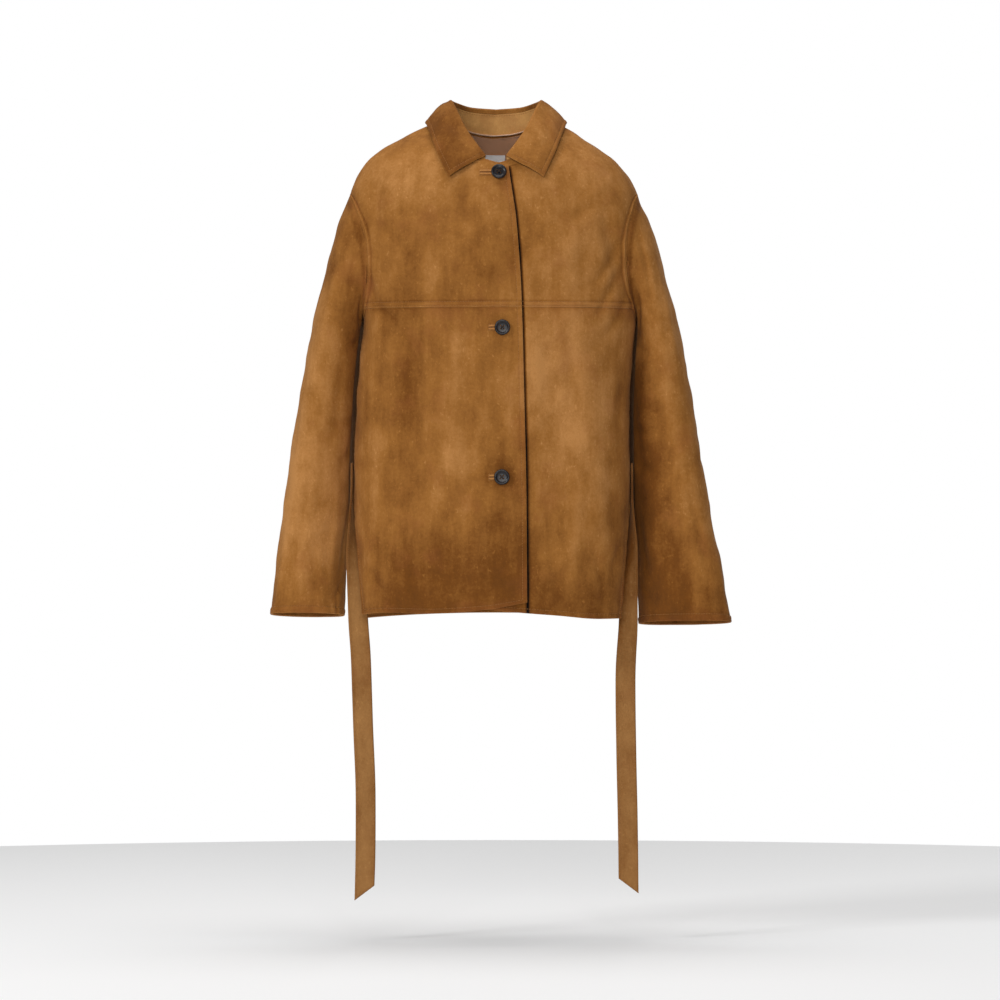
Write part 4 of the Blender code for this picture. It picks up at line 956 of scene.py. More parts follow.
# Painted light and shade for each sleeve on its own, as the light falls differently on the two.
SIDE_PAINTED_LIGHT_AND_SHADE = {            # more of them, for one sleeve only
    "right": ((190, 90, 60, 80, -0.22), (226, 330, 50, 280, 0.26), (120, 490, 160, 60, -0.36),
              (50, 60, 70, 60, -0.26), (165, 300, 36, 160, 0.16),
              (30, 280, 50, 150, 0.12)),
    "left": ((200, 90, 50, 60, 0.24), (212, 330, 46, 260, -0.30), (118, 540, 150, 90, -0.26),
             (50, 70, 70, 70, 0.28), (165, 330, 36, 200, -0.34)),
}
# Painted light: the wearer's right sleeve, which faces the light, is painted lighter, and the left one darker.
SLEEVE_PAINTED_LIGHT = {"right": 0.10, "left": -0.12}
SLEEVE_CUTS = {"right": (0.465, 0.602, 0.1785), "left": (0.464, 0.616, 0.1890)}    # all round, in metres


def armhole_loop(side, around):
    """Points of the armhole's edge on the worked panels, at even angles from the shoulder tip down the front
    and up the back, brought a little towards the hole's middle so that the sleeve lies in it."""
    z = ARMHOLE_MIDDLE_Z + ARMHOLE_HALF * np.cos(around)
    front = np.sin(around) >= 0
    reach = np.where(front, -ARMHOLE_FRONT, ARMHOLE_BACK) * np.abs(np.sin(around))
    y = np.sign(reach) * np.maximum(np.abs(reach), SEAM_GAP / 2)
    depth = np.where(front, body("front_depth", z), body("back_depth", z))
    power = body("squareness", z)
    across = (1 - np.clip(np.abs(y) / depth, 0, 1) ** power) ** (1 / power)
    ends = np.stack([body("centre_x", z) + side * body("back_half", z) * across, y, z], -1)
    outward = body_normal(ends)
    into = np.array([0, 0, ARMHOLE_MIDDLE_Z]) - ends * [0, 1, 1]
    into = unit(into - outward * np.sum(into * outward, axis=1, keepdims=True))
    x = ends[:, 0]
    on_front = long_folds(x, z, FRONT_FOLDS) + creases(x, z, FRONT_CREASES)
    lift = SEAM_GAP + np.where(front, on_front, back_relief(ends))
    return ends + outward * lift[:, None] + LAY_GAP * into


def sleeve_rings(side, place, around):
    """Rings of one sleeve: each is an oval between its outer point and its inner one, which lies off the
    body's side, and the first few are drawn into the armhole."""
    knots = np.arange(len(SLEEVE["outer_z"]))
    row = {name: smooth(place, knots, values) for name, values in SLEEVE.items()}
    to_outer = np.sign(np.cos(around)) * np.abs(np.cos(around)) ** SLEEVE_ROUNDNESS
    to_front = np.sign(np.sin(around)) * np.abs(np.sin(around)) ** SLEEVE_ROUNDNESS
    outer = np.stack([side * row["outer_x"] + row["lean_x"], row["centre_y"], row["outer_z"]], -1)
    half, depth, power = (body(name, row["inner_z"]) for name in ("back_half", "back_depth", "squareness"))
    inner_x = side * (half * (1 - (row["inner_y"] / depth) ** power) ** (1 / power) + row["inner_gap"])
    inner = np.stack([inner_x + body("centre_x", row["inner_z"]), row["inner_y"], row["inner_z"]], -1)
    rings = ((outer + inner) / 2)[:, None] + to_outer[None, :, None] * ((outer - inner) / 2)[:, None]
    rings[..., 1] -= row["half_depth"][:, None] * to_front
    share = np.clip((HANG_Z - rings[..., 2]) / (HANG_Z - SLEEVE["outer_z"][-1]), 0, 1)
    rings[..., 2] -= LEFT_CUFF_DROP * share * (side > 0)
    rings[..., 2] += CUFF_TILT * to_front * share ** 4
    fade = pair(np.minimum(place, len(HEAD_FADE) - 1), tuple(enumerate(HEAD_FADE)))
    rings += fade[:, None, None] * (armhole_loop(side, around) - rings[0])
    return rings


def kept_clear(rings, place):
    """Push a sleeve's points out along the body's normal wherever they come too near its side."""
    risen, away = off_body(rings)
    clear = np.minimum(SLEEVE_CLEAR, SEAM_GAP + CLEAR_GROWTH * place)
    return rings + away * np.maximum(0, clear[:, None, None] - risen)


last_place = len(SLEEVE["outer_z"]) - 1
head = np.array(SEAMED) / HEAD_STEP
CUFF_EDGE = (0, 0.4, 1.0, 1.9, 3.2, 5.4, 7.6, 8.8, 9.5, 10.2, 11.4, 13.5)
cuff = last_place - np.array(CUFF_EDGE[::-1]) / CUFF_STEP
sleeve_places = np.concatenate([head, np.linspace(head[-1], cuff[0], 152)[1:-1], cuff])
around = np.linspace(0, 2 * math.pi, AROUND, endpoint=False)
turned = np.where(around > math.pi, around - 2 * math.pi, around) / math.pi
for side, owner in ((-1, "right"), (1, "left")):
    rings = sleeve_rings(side, sleeve_places, around)
    faces = quads(*rings.shape[:2], closed=True)
    normals = fine_normals(rings, faces, rings - rings.mean(axis=1, keepdims=True))
    down = walked(rings, 0)
    level_down = np.broadcast_to(down.mean(axis=1)[:, None], down.shape)
    flat_around = np.broadcast_to(turned * GIRTH / 2, down.shape)
    from_cuff = down[-1] - down
    from_seam = np.abs(np.abs(flat_around) - GIRTH / 2)
    shift = 0 if side > 0 else RIGHT_SHIFT
    creased = creases(flat_around - shift, level_down + shift, SLEEVE_CREASES)
    waves = unevenness(rings + SLEEVE_WAVES * side)
    lift = creased + waves * calm(np.minimum(down, from_seam))
    lift += seamed_edge(down, flat_around) - 1.0 * np.exp(-(from_seam / 2.2) ** 2)
    to_stitch = from_cuff - (CUFF_INSET - STITCH_INSET)
    rim = EDGE_FULL - RIM_DROP * rounded(from_cuff, RIM_ROUND)
    lift += np.where(to_stitch > 1.5, turned_edge(to_stitch, flat_around), rim)
    outer = kept_clear(rings + normals * lift[..., None], sleeve_places)
    edge = np.minimum(np.minimum(down + 2, from_cuff), from_seam + 3)
    # Each sleeve's own painted light and shade, added to the shared patches.
    tone = patches(flat_around, level_down, SLEEVE_PATCHES + SIDE_PAINTED_LIGHT_AND_SHADE[owner]) + SLEEVE_PAINTED_LIGHT[owner]
    # Painted shade in the groove just below the armhole seam.
    tone -= 0.30 * np.exp(-((down - 8) / 6) ** 2) * (level_down < 200)
    # Painted shade in the hollows of creases and slow waves, painted light on their ridges.
    tone += CREASE_PAINTED_SHADE * (creased + waves)
    sleeve = wall_mesh(f"suede_{owner}_sleeve", outer, faces, normals, tan_suede, tone, edge,
                       np.stack([flat_around, down], -1))
    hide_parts(f"{owner}_sleeve")
    width, length, area = SLEEVE_CUTS[owner]
    fine = fine_normals(outer, faces, normals)
    cloth = [np.concatenate([grid, grid[:, :1]], axis=1) for grid in (outer, fine)]
    columns = np.arange(AROUND + 1)
    stitch_rows = near_column(-from_cuff.T, -CUFF_INSET)[columns % AROUND]
    stitches(f"{owner}_cuff_stitching", [grid_line(*cloth, stitch_rows, columns)])

# The armhole seams: the two cut edges are pressed to the sleeve's side and stand as a soft roll that fills
# the groove between sleeve and panels.

ROLL = 1.9                  # radius of the roll
ROLL_SINK = 1.5             # how deep its middle lies under the panels' face
ROLL_SIDES = 10


def circles(line, way, radius, sides, ups):
    """Circles across a line that runs a given way: cosines across it, and sines towards its upper side."""
    way = unit(way)
    across = unit(np.cross(way, ups))
    up = np.cross(across, way)
    turn = np.linspace(0, 2 * math.pi, sides, endpoint=False)[None, :, None]
    return line[:, None] + radius * (np.cos(turn) * across[:, None] + np.sin(turn) * up[:, None])


seam_around = np.linspace(0, 2 * math.pi, 360, endpoint=False)
index = np.arange(len(seam_around) * ROLL_SIDES).reshape(-1, ROLL_SIDES)
beside, after = np.roll(index, -1, axis=1), np.roll(index, -1, axis=0)
roll_faces = np.stack([index, after, np.roll(beside, -1, axis=0), beside], -1).reshape(-1, 4)
roll_tones = (("tint", np.full(index.size, -0.15)), ("edge", np.full(index.size, 2.0)))
for side, owner in ((-1, "right"), (1, "left")):
    seam = armhole_loop(side, seam_around)
    outwards = body_normal(seam)
    seam -= ROLL_SINK * outwards
    ring = circles(seam, np.roll(seam, -1, axis=0) - np.roll(seam, 1, axis=0), ROLL, ROLL_SIDES, outwards)
    roll = add_mesh(f"suede_{owner}_armhole_seam", ring, roll_faces.tolist(), tan_suede, roll_tones)


# ---------------------------------------------------------------- collar
# A shirt collar in two pieces. The stand rises from the neckline, the leaf is sewn to its top inside the
# neck, rolls over and falls to a free edge that is turned and topstitched.

COLLAR = {                  # the fold and the free edge, from the centre back to the front end
    "along": (0, 0.20, 0.38, 0.50, 0.64, 0.80, 1.00),
    "fold_x": (0, 33, 55, 63, 58, 42, 14.5),
    "fold_y": (58, 50, 26, -2, -28, -54, -77),
    "fold_z": (43, 45, 50, 52, 42, 10, -29),
    "edge_x": (0, 48, 84, 99, 93, 82, 66),
    "edge_y": (75, 71, 46, 6, -32, -64, -88),
    "edge_z": (-8, -7.5, 2, 20, 4, -26, -61),
}
COLLAR_HEIGHT = 5.2         # of the leaf above the form
COLLAR_BULGE = 3.5          # how far the falling leaf swells out between fold and edge
COLLAR_BODY_TOP = 27.0      # above this height the leaf has only the stand behind it
FOLD_RADIUS = 2.7
LEAF_SEAM_DROP = 7.0        # how far below the fold the leaf is sewn to the stand
NECK_MIDDLE_Y = -10.0       # the point that the stand leans away from
COLLAR_COLUMNS = 190
HALF_LEAF = 235.0           # length of half the leaf's free edge
LEAF_CREASES = (            # along, down of each end, half_width, depth, bow
    (-190, 14, -150, 52, 8, 1.0, 3), (-120, 10, -96, 50, 9, -1.0, -3), (-60, 12, -48, 46, 10, 0.9, 2),
    (24, 12, 30, 48, 10, 0.8, -2), (92, 12, 110, 50, 9, -1.0, 3), (150, 14, 186, 50, 8, 1.0, -3),
    (-214, 20, -168, 26, 6, 0.8, 2), (212, 34, 176, 60, 6, 0.8, -2), (-10, 16, -30, 44, 9, -0.7, 2),
)
LEAF_PATCHES = (            # along, down, half_along, half_down, amount
    (-205, 40, 50, 40, -0.36), (-130, 40, 50, 40, -0.12), (150, 40, 60, 26, 0.16), (0, 30, 60, 20, 0.05),
    (-235, 40, 24, 40, -0.10), (235, 40, 20, 40, 0.05), (-90, 8, 80, 10, -0.05),
)
LEAF_TONE = -0.14
# The stand's inner face is a lighter, yellower suede, and its colours are raised further as painted light,
# since the collar shades the inside of the neck.
inner_suede_with_painted_light = suede("inner_suede_with_painted_light", (0.66, 0.36, 0.12), (0.52, 0.26, 0.08), TAN_MIDDLE, TAN_RED, 0.9)


def neck_line(count=70):
    """The neckline on the form: from its right front end over the neck point to the centre back, and the same
    on the left, backwards."""
    halves = []
    for side in (-1, 1):
        front_z = np.linspace(COLLAR_END_Z, NECK_POINT_Z, count)
        back_z = np.append(np.linspace(NECK_POINT_Z, 5.5, count // 2)[1:], NECK_BACK[0][0])
        x = side * np.concatenate([pair(front_z, NECK_FRONT), pair(back_z, NECK_BACK)])
        z = np.concatenate([front_z, back_z])
        x[-1] = body("centre_x", z[-1])
        front = np.arange(len(z)) < count
        half, power = body("back_half", z), body("squareness", z)
        depth = np.where(front, -body("front_depth", z), body("back_depth", z))
        across = np.clip(np.abs(x - body("centre_x", z)) / half, 0, 1)
        halves.append(np.stack([x, depth * (1 - across ** power) ** (1 / power), z], -1))
    return np.concatenate([halves[0], halves[1][-2::-1]])


neck = neck_line()
walk = walked(neck, 0)
neck_along = np.interp(walk, [0, walk[len(neck) // 2], walk[-1]], [-1, 0, 1])
neck_outwards = unit((neck - (0, NECK_MIDDLE_Y, 0)) * (1, 1, 0))


def collar_curve(prefix, along):
    """The fold or the free edge at signed places along the collar: -1 and 1 are its ends, 0 is the back."""
    x, y, z = (smooth(np.abs(along), COLLAR["along"], COLLAR[f"{prefix}_{axis}"]) for axis in "xyz")
    return np.stack([np.sign(along) * x, y, z], -1)


def collar_frame(along):
    """Seam on the neckline, fold line, the direction up the stand, the one outwards, and the seam's drop."""
    fold = collar_curve("fold", along)
    base = between(along, neck_along, neck)
    outwards = between(along, neck_along, neck_outwards)
    height = np.linalg.norm(fold - base, axis=1, keepdims=True)
    up = (fold - base) / height
    outwards = unit(outwards - up * np.sum(outwards * up, axis=1, keepdims=True))
    return base, fold, up, outwards, np.minimum(LEAF_SEAM_DROP, 0.5 * height)


near_end = np.array(TURNED) / HALF_LEAF
along = np.concatenate([-1 + near_end, np.linspace(-1 + near_end[-1], 1 - near_end[-1], COLLAR_COLUMNS)[1:-1],
                        1 - near_end[::-1]])
base, fold, up, outwards, drop = collar_frame(along)

# Leaf: up from its seam, round the roll, and down to its free edge.
free_edge = above_body(collar_curve("edge", along), COLLAR_HEIGHT)
edge_normals = body_normal(free_edge)
lines, facings = [], []
for share in (0, 0.12, 0.3, 0.6):
    lines.append(fold - drop * (1 - share) * up - FOLD_RADIUS * outwards)
    facings.append(-outwards)
for angle in np.radians(np.linspace(180, 30, 13)):
    turn = math.cos(angle) * outwards + math.sin(angle) * up
    lines.append(fold + FOLD_RADIUS * (turn - up))
    facings.append(turn)
start = lines[-1]
width = np.linalg.norm(free_edge - start, axis=1, keepdims=True)
shares = [step * (1 - TURNED[-1] / width) for step in np.linspace(0, 1, 18)[1:-1]]
shares += [1 - distance / width for distance in TURNED[::-1]]
for share in shares:
    swell = unit((1 - share) * outwards + share * edge_normals)
    line = start + share * (free_edge - start) + COLLAR_BULGE * 4 * share * (1 - share) * swell
    risen, away = off_body(line)
    near_body = np.clip((COLLAR_BODY_TOP - line[:, 2:]) / 8, 0, 1)
    lines.append(line + away * near_body * np.maximum(0, COLLAR_HEIGHT - risen))
leaf = np.array(lines)
leaf_faces = quads(*leaf.shape[:2])
leaf_normals = facing(leaf.reshape(-1, 3), leaf_faces).reshape(leaf.shape)
if leaf_normals[-1, leaf.shape[1] // 2, 1] < 0:
    leaf_normals = -leaf_normals
leaf_normals[:len(facings)] = facings
from_free = walked(leaf[::-1], 0)[::-1]
from_left = walked(leaf, 1)
from_ends = np.minimum(from_left, from_left[:, -1:] - from_left)
falls = np.clip((np.arange(len(leaf)) - len(facings)) / 3, 0, 1)[:, None]
flat_along = np.broadcast_to(along * HALF_LEAF, from_free.shape)
flat_down = walked(leaf, 0)
lift = np.where(from_free < from_ends, turned_edge(from_free, flat_along), turned_edge(from_ends, flat_down))
lift = (lift + creases(flat_along, flat_down, LEAF_CREASES) + unevenness(leaf, 0.8)) * falls
outer = leaf + leaf_normals * lift[..., None]
tone = patches(flat_along, flat_down, LEAF_PATCHES) + LEAF_TONE
leaf_piece = wall_mesh("suede_collar_leaf", outer, leaf_faces, leaf_normals, tan_suede, tone,
                       np.minimum(from_free, from_ends), np.stack([flat_along, flat_down], -1))
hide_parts("collar_leaf")
cloth = outer, fine_normals(outer, leaf_faces, leaf_normals)
inside_ends = np.flatnonzero(from_ends[-1] > STITCH_INSET)
free_rows = near_column(-from_free.T, -STITCH_INSET)[inside_ends]
end_rows = np.flatnonzero(from_free[:, 0] > STITCH_INSET)[len(facings):]
left_columns = near_column(from_left, STITCH_INSET)[end_rows]
right_columns = far_column(from_left[:, -1:] - from_left, STITCH_INSET)[end_rows]
collar_lines = [grid_line(*cloth, free_rows, inside_ends), grid_line(*cloth, end_rows, left_columns),
                grid_line(*cloth, end_rows, right_columns)]

# Stand: from the neckline up to the leaf's seam. Its inner face shows at the back of the neck.
STAND_ROWS = 16
STAND_STITCH = 2.2          # below the leaf's seam
# Its tone is raised partly for its own paler colour and partly as painted light in the shaded neck.
STAND_TONE_AND_PAINTED_LIGHT = 0.30
low = base + LAY_GAP * up
top = fold - (drop + SEAM_GAP) * up - (FOLD_RADIUS - WALL) * outwards
share = np.linspace(0, 1, STAND_ROWS)[:, None, None]
stand = low + share * (top - low)
stand_normals = np.repeat(outwards[None], STAND_ROWS, axis=0)
stand_down = walked(stand, 0)
to_rim = np.minimum(stand_down, stand_down[-1] - stand_down)
swell = unevenness(stand, 0.35) * np.clip(to_rim / 6, 0, 1)
stand_outer = stand + stand_normals * swell[..., None]
flat_along = np.broadcast_to(along * HALF_LEAF, to_rim.shape)
# The whole stand is raised by that tone, partly as painted light.
tone = np.full(to_rim.shape, STAND_TONE_AND_PAINTED_LIGHT)
stand_piece = wall_mesh("suede_collar_stand", stand_outer, quads(*stand.shape[:2]), stand_normals,
                        inner_suede_with_painted_light, tone, to_rim + 4, np.stack([flat_along, stand_down], -1))
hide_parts("collar_stand")
inner_stand = stand_outer - WALL * stand_normals
rows = near_column((stand_down - stand_down[-1]).T, -STAND_STITCH)
collar_lines.append(grid_line(inner_stand, -stand_normals, rows, np.arange(len(along))))
stitches("collar_topstitching", collar_lines)

# ---------------------------------------------------------------- inside the neck
# A satin lining lies against the upper back, a satin cord is sewn along its neck seam, and a blank woven
# label hangs below it; the few stitches at each end that would hold it are not made.

LINING_WALL = 1.0           # room that the lining takes behind the label
LINING_THICK = 0.6
LINING_BACK = 0.9           # clear of the suede's own creases
LINING_TOP_Z = 24.5
# The lining's brown is paler than the satin's own, as painted light inside the shaded neck.
SATIN_BROWN_WITH_PAINTED_LIGHT = (0.520, 0.255, 0.130)
SATIN_PINK = (0.56, 0.33, 0.20)
LINING_CREASES = (          # x, z of each end, half_width, depth, bow
    (-70, -6, 66, -9, 5, 1.7, 3), (-90, -22, 40, -30, 7, 1.6, -5), (-20, -40, 96, -34, 7, 1.5, 4),
    (-120, -70, -20, -96, 10, 2.0, 6), (30, -90, 124, -66, 10, 1.9, -6), (-60, -130, -52, -230, 12, 2.2, 4),
    (40, -120, 36, -236, 12, 2.0, -4), (120, -120, 110, -230, 10, 2.0, 4),
    (-130, -130, -124, -234, 10, 2.0, -3),
)


def satin(name, colour, roughness):
    """Satin: smooth floats that run one way, as fine ribs of wave texture, level on the hanging cloth."""
    material, tree, shader = new_material(name, Sheen_Weight=0.3)
    place = node(tree, "ShaderNodeTexCoord").outputs["Object"]
    floats = node(tree, "ShaderNodeTexWave", wave_type="BANDS", bands_direction="Z", in_Scale=420.0,
                  in_Distortion=1.2, in_Detail=2.0)
    cloud = node(tree, "ShaderNodeTexNoise", in_Scale=28.0, in_Detail=3.0)
    bump = node(tree, "ShaderNodeBump", in_Strength=0.25, in_Distance=0.0002)
    tone = added(tree, 0.0, (floats.outputs["Fac"], 0.3), (cloud.outputs["Fac"], 0.7))
    darker = tuple(0.6 * channel for channel in colour)
    lighter = tuple(min(1, 1.35 * channel) for channel in colour)
    rough = added(tree, roughness, (cloud.outputs["Fac"], 0.16))
    link(tree, (place, floats.inputs["Vector"]), (place, cloud.inputs["Vector"]),
         (mixed(tree, tone, darker, lighter), shader.inputs["Base Color"]),
         (rough, shader.inputs["Roughness"]),
         (floats.outputs["Fac"], bump.inputs["Height"]), (bump.outputs[0], shader.inputs["Normal"]))
    return material


lining_rows = np.unique(np.concatenate([[LINING_TOP_Z], np.linspace(21.5, 5.5, 7), [NECK_BACK[0][0]],
                                        levels(0, SHOULDER_TIP_Z, step=6),
                                        armhole_levels(0, YOKE_SHARE, steps=60)]))[::-1]
lining_halves = []
for _, points, normals, _, from_side in back_surface(lining_rows, WALL + LAY_GAP + LINING_BACK):
    x, z = points[..., 0], points[..., 2]
    held = np.clip(from_side / 10, 0, 1) * np.clip((12 - z) / 14, 0, 1)
    lift = back_relief(points) + unevenness(points + BACK_WAVES) * held
    lift -= np.abs(creases(x, z, LINING_CREASES)) * held
    lining_halves.append((points + normals * lift[..., None], normals))
faces, (points, normals) = joined(lining_halves)
no_tint = np.zeros(len(points))
# The lining's satin, paler than its own brown as painted light.
brown_satin = satin("brown_satin", SATIN_BROWN_WITH_PAINTED_LIGHT, 0.26)
lining = wall_mesh("satin_back_lining", points, faces, normals, brown_satin, no_tint, no_tint,
                   wall=LINING_THICK)
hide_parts("back_lining")

PIPING_RADIUS = 1.1
PIPING_GAP = 0.5            # between the cord and the lining
PIPING_RISE = 1.2           # above the neck seam


def tube(line, radius, sides, ups):
    """Points and faces of a round cord along a line: circles across it, shrunk to a point at both ends."""
    place = np.arange(len(line))
    taper = np.minimum(1, np.minimum(place, place[::-1]) * 0.5 + 0.02)
    ring = circles(line, np.gradient(line, axis=0), radius * taper[:, None, None], sides, ups).reshape(-1, 3)
    faces = quads(len(line), sides, closed=True)[:, ::-1].tolist()
    return ring, faces + [list(range(sides)), list(range(len(ring) - sides, len(ring)))[::-1]]


behind = neck[:, 1] > 0
piping_line = neck[behind] - (WALL + LAY_GAP + PIPING_RADIUS + PIPING_GAP) * neck_outwards[behind]
piping_line[:, 2] += PIPING_RISE
places = np.arange(len(piping_line))
piping_line = between(np.linspace(0, places[-1], 260), places, piping_line)
pink_satin = satin("pink_satin", SATIN_PINK, 0.3)
cord = tube(piping_line, PIPING_RADIUS, 12, np.array([0, 0, 1.0]))
piping = add_mesh("satin_neck_piping", *cord, pink_satin)
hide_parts("neck_piping")

LABEL_X = (-15.0, 13.0)
LABEL_Z = (-18.0, -46.0)
LABEL_GAP = 1.0
LABEL_THICK = 0.5
LABEL_BOW = 0.9             # how far its middle stands off the lining


def woven_material(name, colour):
    """A close white weave: two wave textures at right angles, a thread each 0.5 mm."""
    material, tree, shader = new_material(name, Roughness=0.75)
    place = node(tree, "ShaderNodeTexCoord").outputs["Object"]
    warp = node(tree, "ShaderNodeTexWave", wave_type="BANDS", bands_direction="X", in_Scale=640.0)
    weft = node(tree, "ShaderNodeTexWave", wave_type="BANDS", bands_direction="Z", in_Scale=640.0)
    weave = maths(tree, "MULTIPLY", warp.outputs["Fac"], weft.outputs["Fac"])
    bump = node(tree, "ShaderNodeBump", in_Strength=0.4, in_Distance=0.0002)
    darker = tuple(0.92 * channel for channel in colour)
    link(tree, (place, warp.inputs["Vector"]), (place, weft.inputs["Vector"]), (weave, bump.inputs["Height"]),
         (mixed(tree, weave, darker, colour), shader.inputs["Base Color"]),
         (bump.outputs[0], shader.inputs["Normal"]))
    return material


label_x, label_z = np.meshgrid(np.linspace(*LABEL_X, 30), np.linspace(*LABEL_Z, 30))
label = np.stack([label_x, body("back_depth", label_z), label_z], -1)
label = above_body(label, -(WALL + LAY_GAP + LINING_WALL + LABEL_GAP + LINING_THICK))
label_normals = body_normal(label)
middle = (label_x - np.mean(LABEL_X)) / (LABEL_X[1] - LABEL_X[0]) * 2
label -= label_normals * (LABEL_BOW * (1 - middle ** 2))[..., None]
no_tint = np.zeros(label_x.size)
label_piece = wall_mesh("woven_neck_label", label, quads(*label_x.shape), label_normals,
                        woven_material("white_woven", (0.98, 0.95, 0.93)), no_tint, no_tint, wall=LABEL_THICK)
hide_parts("neck_label")

# ---------------------------------------------------------------- buttons and buttonholes
# Three turned buttons with a raised rim, a dished middle and four holes, sewn through with crossed thread.
# Each buttonhole is a slit between two piped lips of suede inside a stitched box; the slit is a near-black
# sheet under the lips, as painted shade.

# Name, x and z of each button, and how far its buttonhole starts before it.
BUTTONS = (("top", 4.0, -55.5, 27), ("middle", 8.8, -269.5, 19), ("low", 8.0, -476.5, 18))
HOLE_RADIUS = 1.0
HOLE_SPACING = 2.3          # of each hole from the button's middle, across and up
BUTTONHOLE_PAST = 8.0       # how far a buttonhole ends beyond its button's middle
BUTTONHOLE_WALL = 1.0
SIDES = 72
DRILL_SIDES = SIDES // 4
DRILL_DEPTH = (-6.0, 9.0)
BUTTON_THREAD = 0.3
BUTTON_PROFILE = (          # radius, height: round the back, over the rim, and into the dish
    (0, 0.15), (4, 0), (8.2, 0), (9.6, 0.25), (10.5, 0.8), (10.8, 1.5), (10.75, 2.2), (10.4, 2.9),
    (9.8, 3.3), (9.1, 3.4), (8.4, 3.3), (7.8, 2.95), (7.2, 2.5), (6.4, 2.3), (4, 2.25), (0, 2.25),
)


def button_material():
    """Polished horn: near black, with soft brown streaks and a few fine scratches in its gloss."""
    material, tree, shader = new_material("dark_horn", Specular_IOR_Level=0.35)
    place = node(tree, "ShaderNodeTexCoord").outputs["Object"]
    mapping = node(tree, "ShaderNodeMapping", in_Scale=(1, 1, 0.3))
    streak = node(tree, "ShaderNodeTexNoise", in_Scale=220.0, in_Detail=4.0, in_Distortion=0.8)
    ramp = maths(tree, "MULTIPLY", maths(tree, "SUBTRACT", streak.outputs["Fac"], 0.45), 3.0, clamp=True)
    rough = added(tree, 0.24, (streak.outputs["Fac"], 0.2))
    link(tree, (place, mapping.inputs["Vector"]), (mapping.outputs[0], streak.inputs["Vector"]),
         (mixed(tree, ramp, (0.006, 0.005, 0.007), (0.026, 0.016, 0.013)), shader.inputs["Base Color"]),
         (rough, shader.inputs["Roughness"]))
    return material


def on_right_front(x, z, height):
    """Points at a height above the outer face of the wearer's right front, and the normals there."""
    points = above_body(np.stack([x, -body("front_depth", z), z], -1), 0.0)
    normals = body_normal(points)
    x, z = points[..., 0], points[..., 2]
    lift = overlap_lift(x, -1) + long_folds(x, z, FRONT_FOLDS) + height
    return points + normals * lift[..., None], normals


def seat_frame(x, z, height):
    """Centre and three directions (across, up, out) of a spot on the wearer's right front."""
    centre, out = (item[0] for item in on_right_front(np.array([x]), np.array([z]), height))
    across = unit(np.cross([0, 0, 1.0], out))
    return centre, np.stack([across, np.cross(out, across), out])


def together(shapes):
    """Several shapes as one: their points in one array, and their faces counted on."""
    faces = []
    count = 0
    for points, own_faces in shapes:
        faces += [[index + count for index in face] for face in own_faces]
        count += len(points)
    return np.concatenate([points for points, _ in shapes]), faces


horn = button_material()
dark_thread = thread_material("dark_thread", (0.05, 0.03, 0.02))
angle = np.linspace(0, 2 * math.pi, SIDES, endpoint=False)
radius, rise = np.array(BUTTON_PROFILE[1:-1]).T
turned_rings = np.stack([radius[:, None] * np.cos(angle), radius[:, None] * np.sin(angle),
                         np.repeat(rise[:, None], SIDES, axis=1)], -1).reshape(-1, 3)
for name, x, z, _ in BUTTONS:
    centre, axes = seat_frame(x, z, 2 * LAY_GAP + BUTTONHOLE_WALL)
    points = np.concatenate([turned_rings, [(0, 0, BUTTON_PROFILE[0][1]), (0, 0, BUTTON_PROFILE[-1][1])]])
    faces = quads(len(radius), SIDES, closed=True).tolist()
    low, high = len(turned_rings), len(turned_rings) + 1
    last = len(turned_rings) - SIDES
    faces += [[low, (i + 1) % SIDES, i] for i in range(SIDES)]
    faces += [[high, last + i, last + (i + 1) % SIDES] for i in range(SIDES)]
    disc = add_mesh(f"horn_button_{name}", centre + points @ axes, faces, horn)
    drills = []
    drill_faces = quads(2, DRILL_SIDES, closed=True).tolist()
    drill_faces += [list(range(DRILL_SIDES))[::-1], list(range(DRILL_SIDES, 2 * DRILL_SIDES))]
    for over, upper in ((-1, -1), (-1, 1), (1, -1), (1, 1)):
        ring = np.stack([HOLE_RADIUS * np.cos(angle[::4]) + HOLE_SPACING * over,
                         HOLE_RADIUS * np.sin(angle[::4]) + HOLE_SPACING * upper, np.zeros(DRILL_SIDES)], -1)
        sides = np.concatenate([ring + (0, 0, depth) for depth in DRILL_DEPTH])
        mesh = bpy.data.meshes.new("drill")
        mesh.from_pydata(((centre + sides @ axes) * MM).tolist(), [], drill_faces)
        drill = bpy.data.objects.new("drill", mesh)
        bpy.context.scene.collection.objects.link(drill)
        disc.modifiers.new("hole", "BOOLEAN").object = drill
        drills.append(drill)
    bpy.context.view_layer.update()
    drilled = bpy.data.meshes.new_from_object(disc.evaluated_get(bpy.context.evaluated_depsgraph_get()))
    disc.modifiers.clear()
    disc.data = drilled
    drilled.shade_smooth()
    drilled.set_sharp_from_angle(angle=math.radians(40))
    for drill in drills:
        bpy.data.objects.remove(drill)
    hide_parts(f"button_{name}")
    threads = []
    reach = np.linspace(-1, 1, 15)
    hump = 2.9 + 0.55 * (1 - reach ** 2) - 3.4 * np.clip(np.abs(reach) - 0.86, 0, 1) * 6
    for slant in (1, -1):
        for slide in (-0.35, 0, 0.35):
            line = np.stack([reach * HOLE_SPACING + slide, reach * HOLE_SPACING * slant - slide * slant,
                             hump + 0.25 * (slant < 0)], -1)
            threads.append(tube(centre + line @ axes, BUTTON_THREAD, 6, axes[2]))
    sewn = add_mesh(f"thread_button_{name}", *together(threads), dark_thread)

LIP_RADIUS = 1.6
LIP_APART = 2.0             # from the slit's middle
LIP_TONE = 0.40
BOX_HALF = 4.3              # of the stitched box round the lips
BOX_END = 8                 # points down each end of it
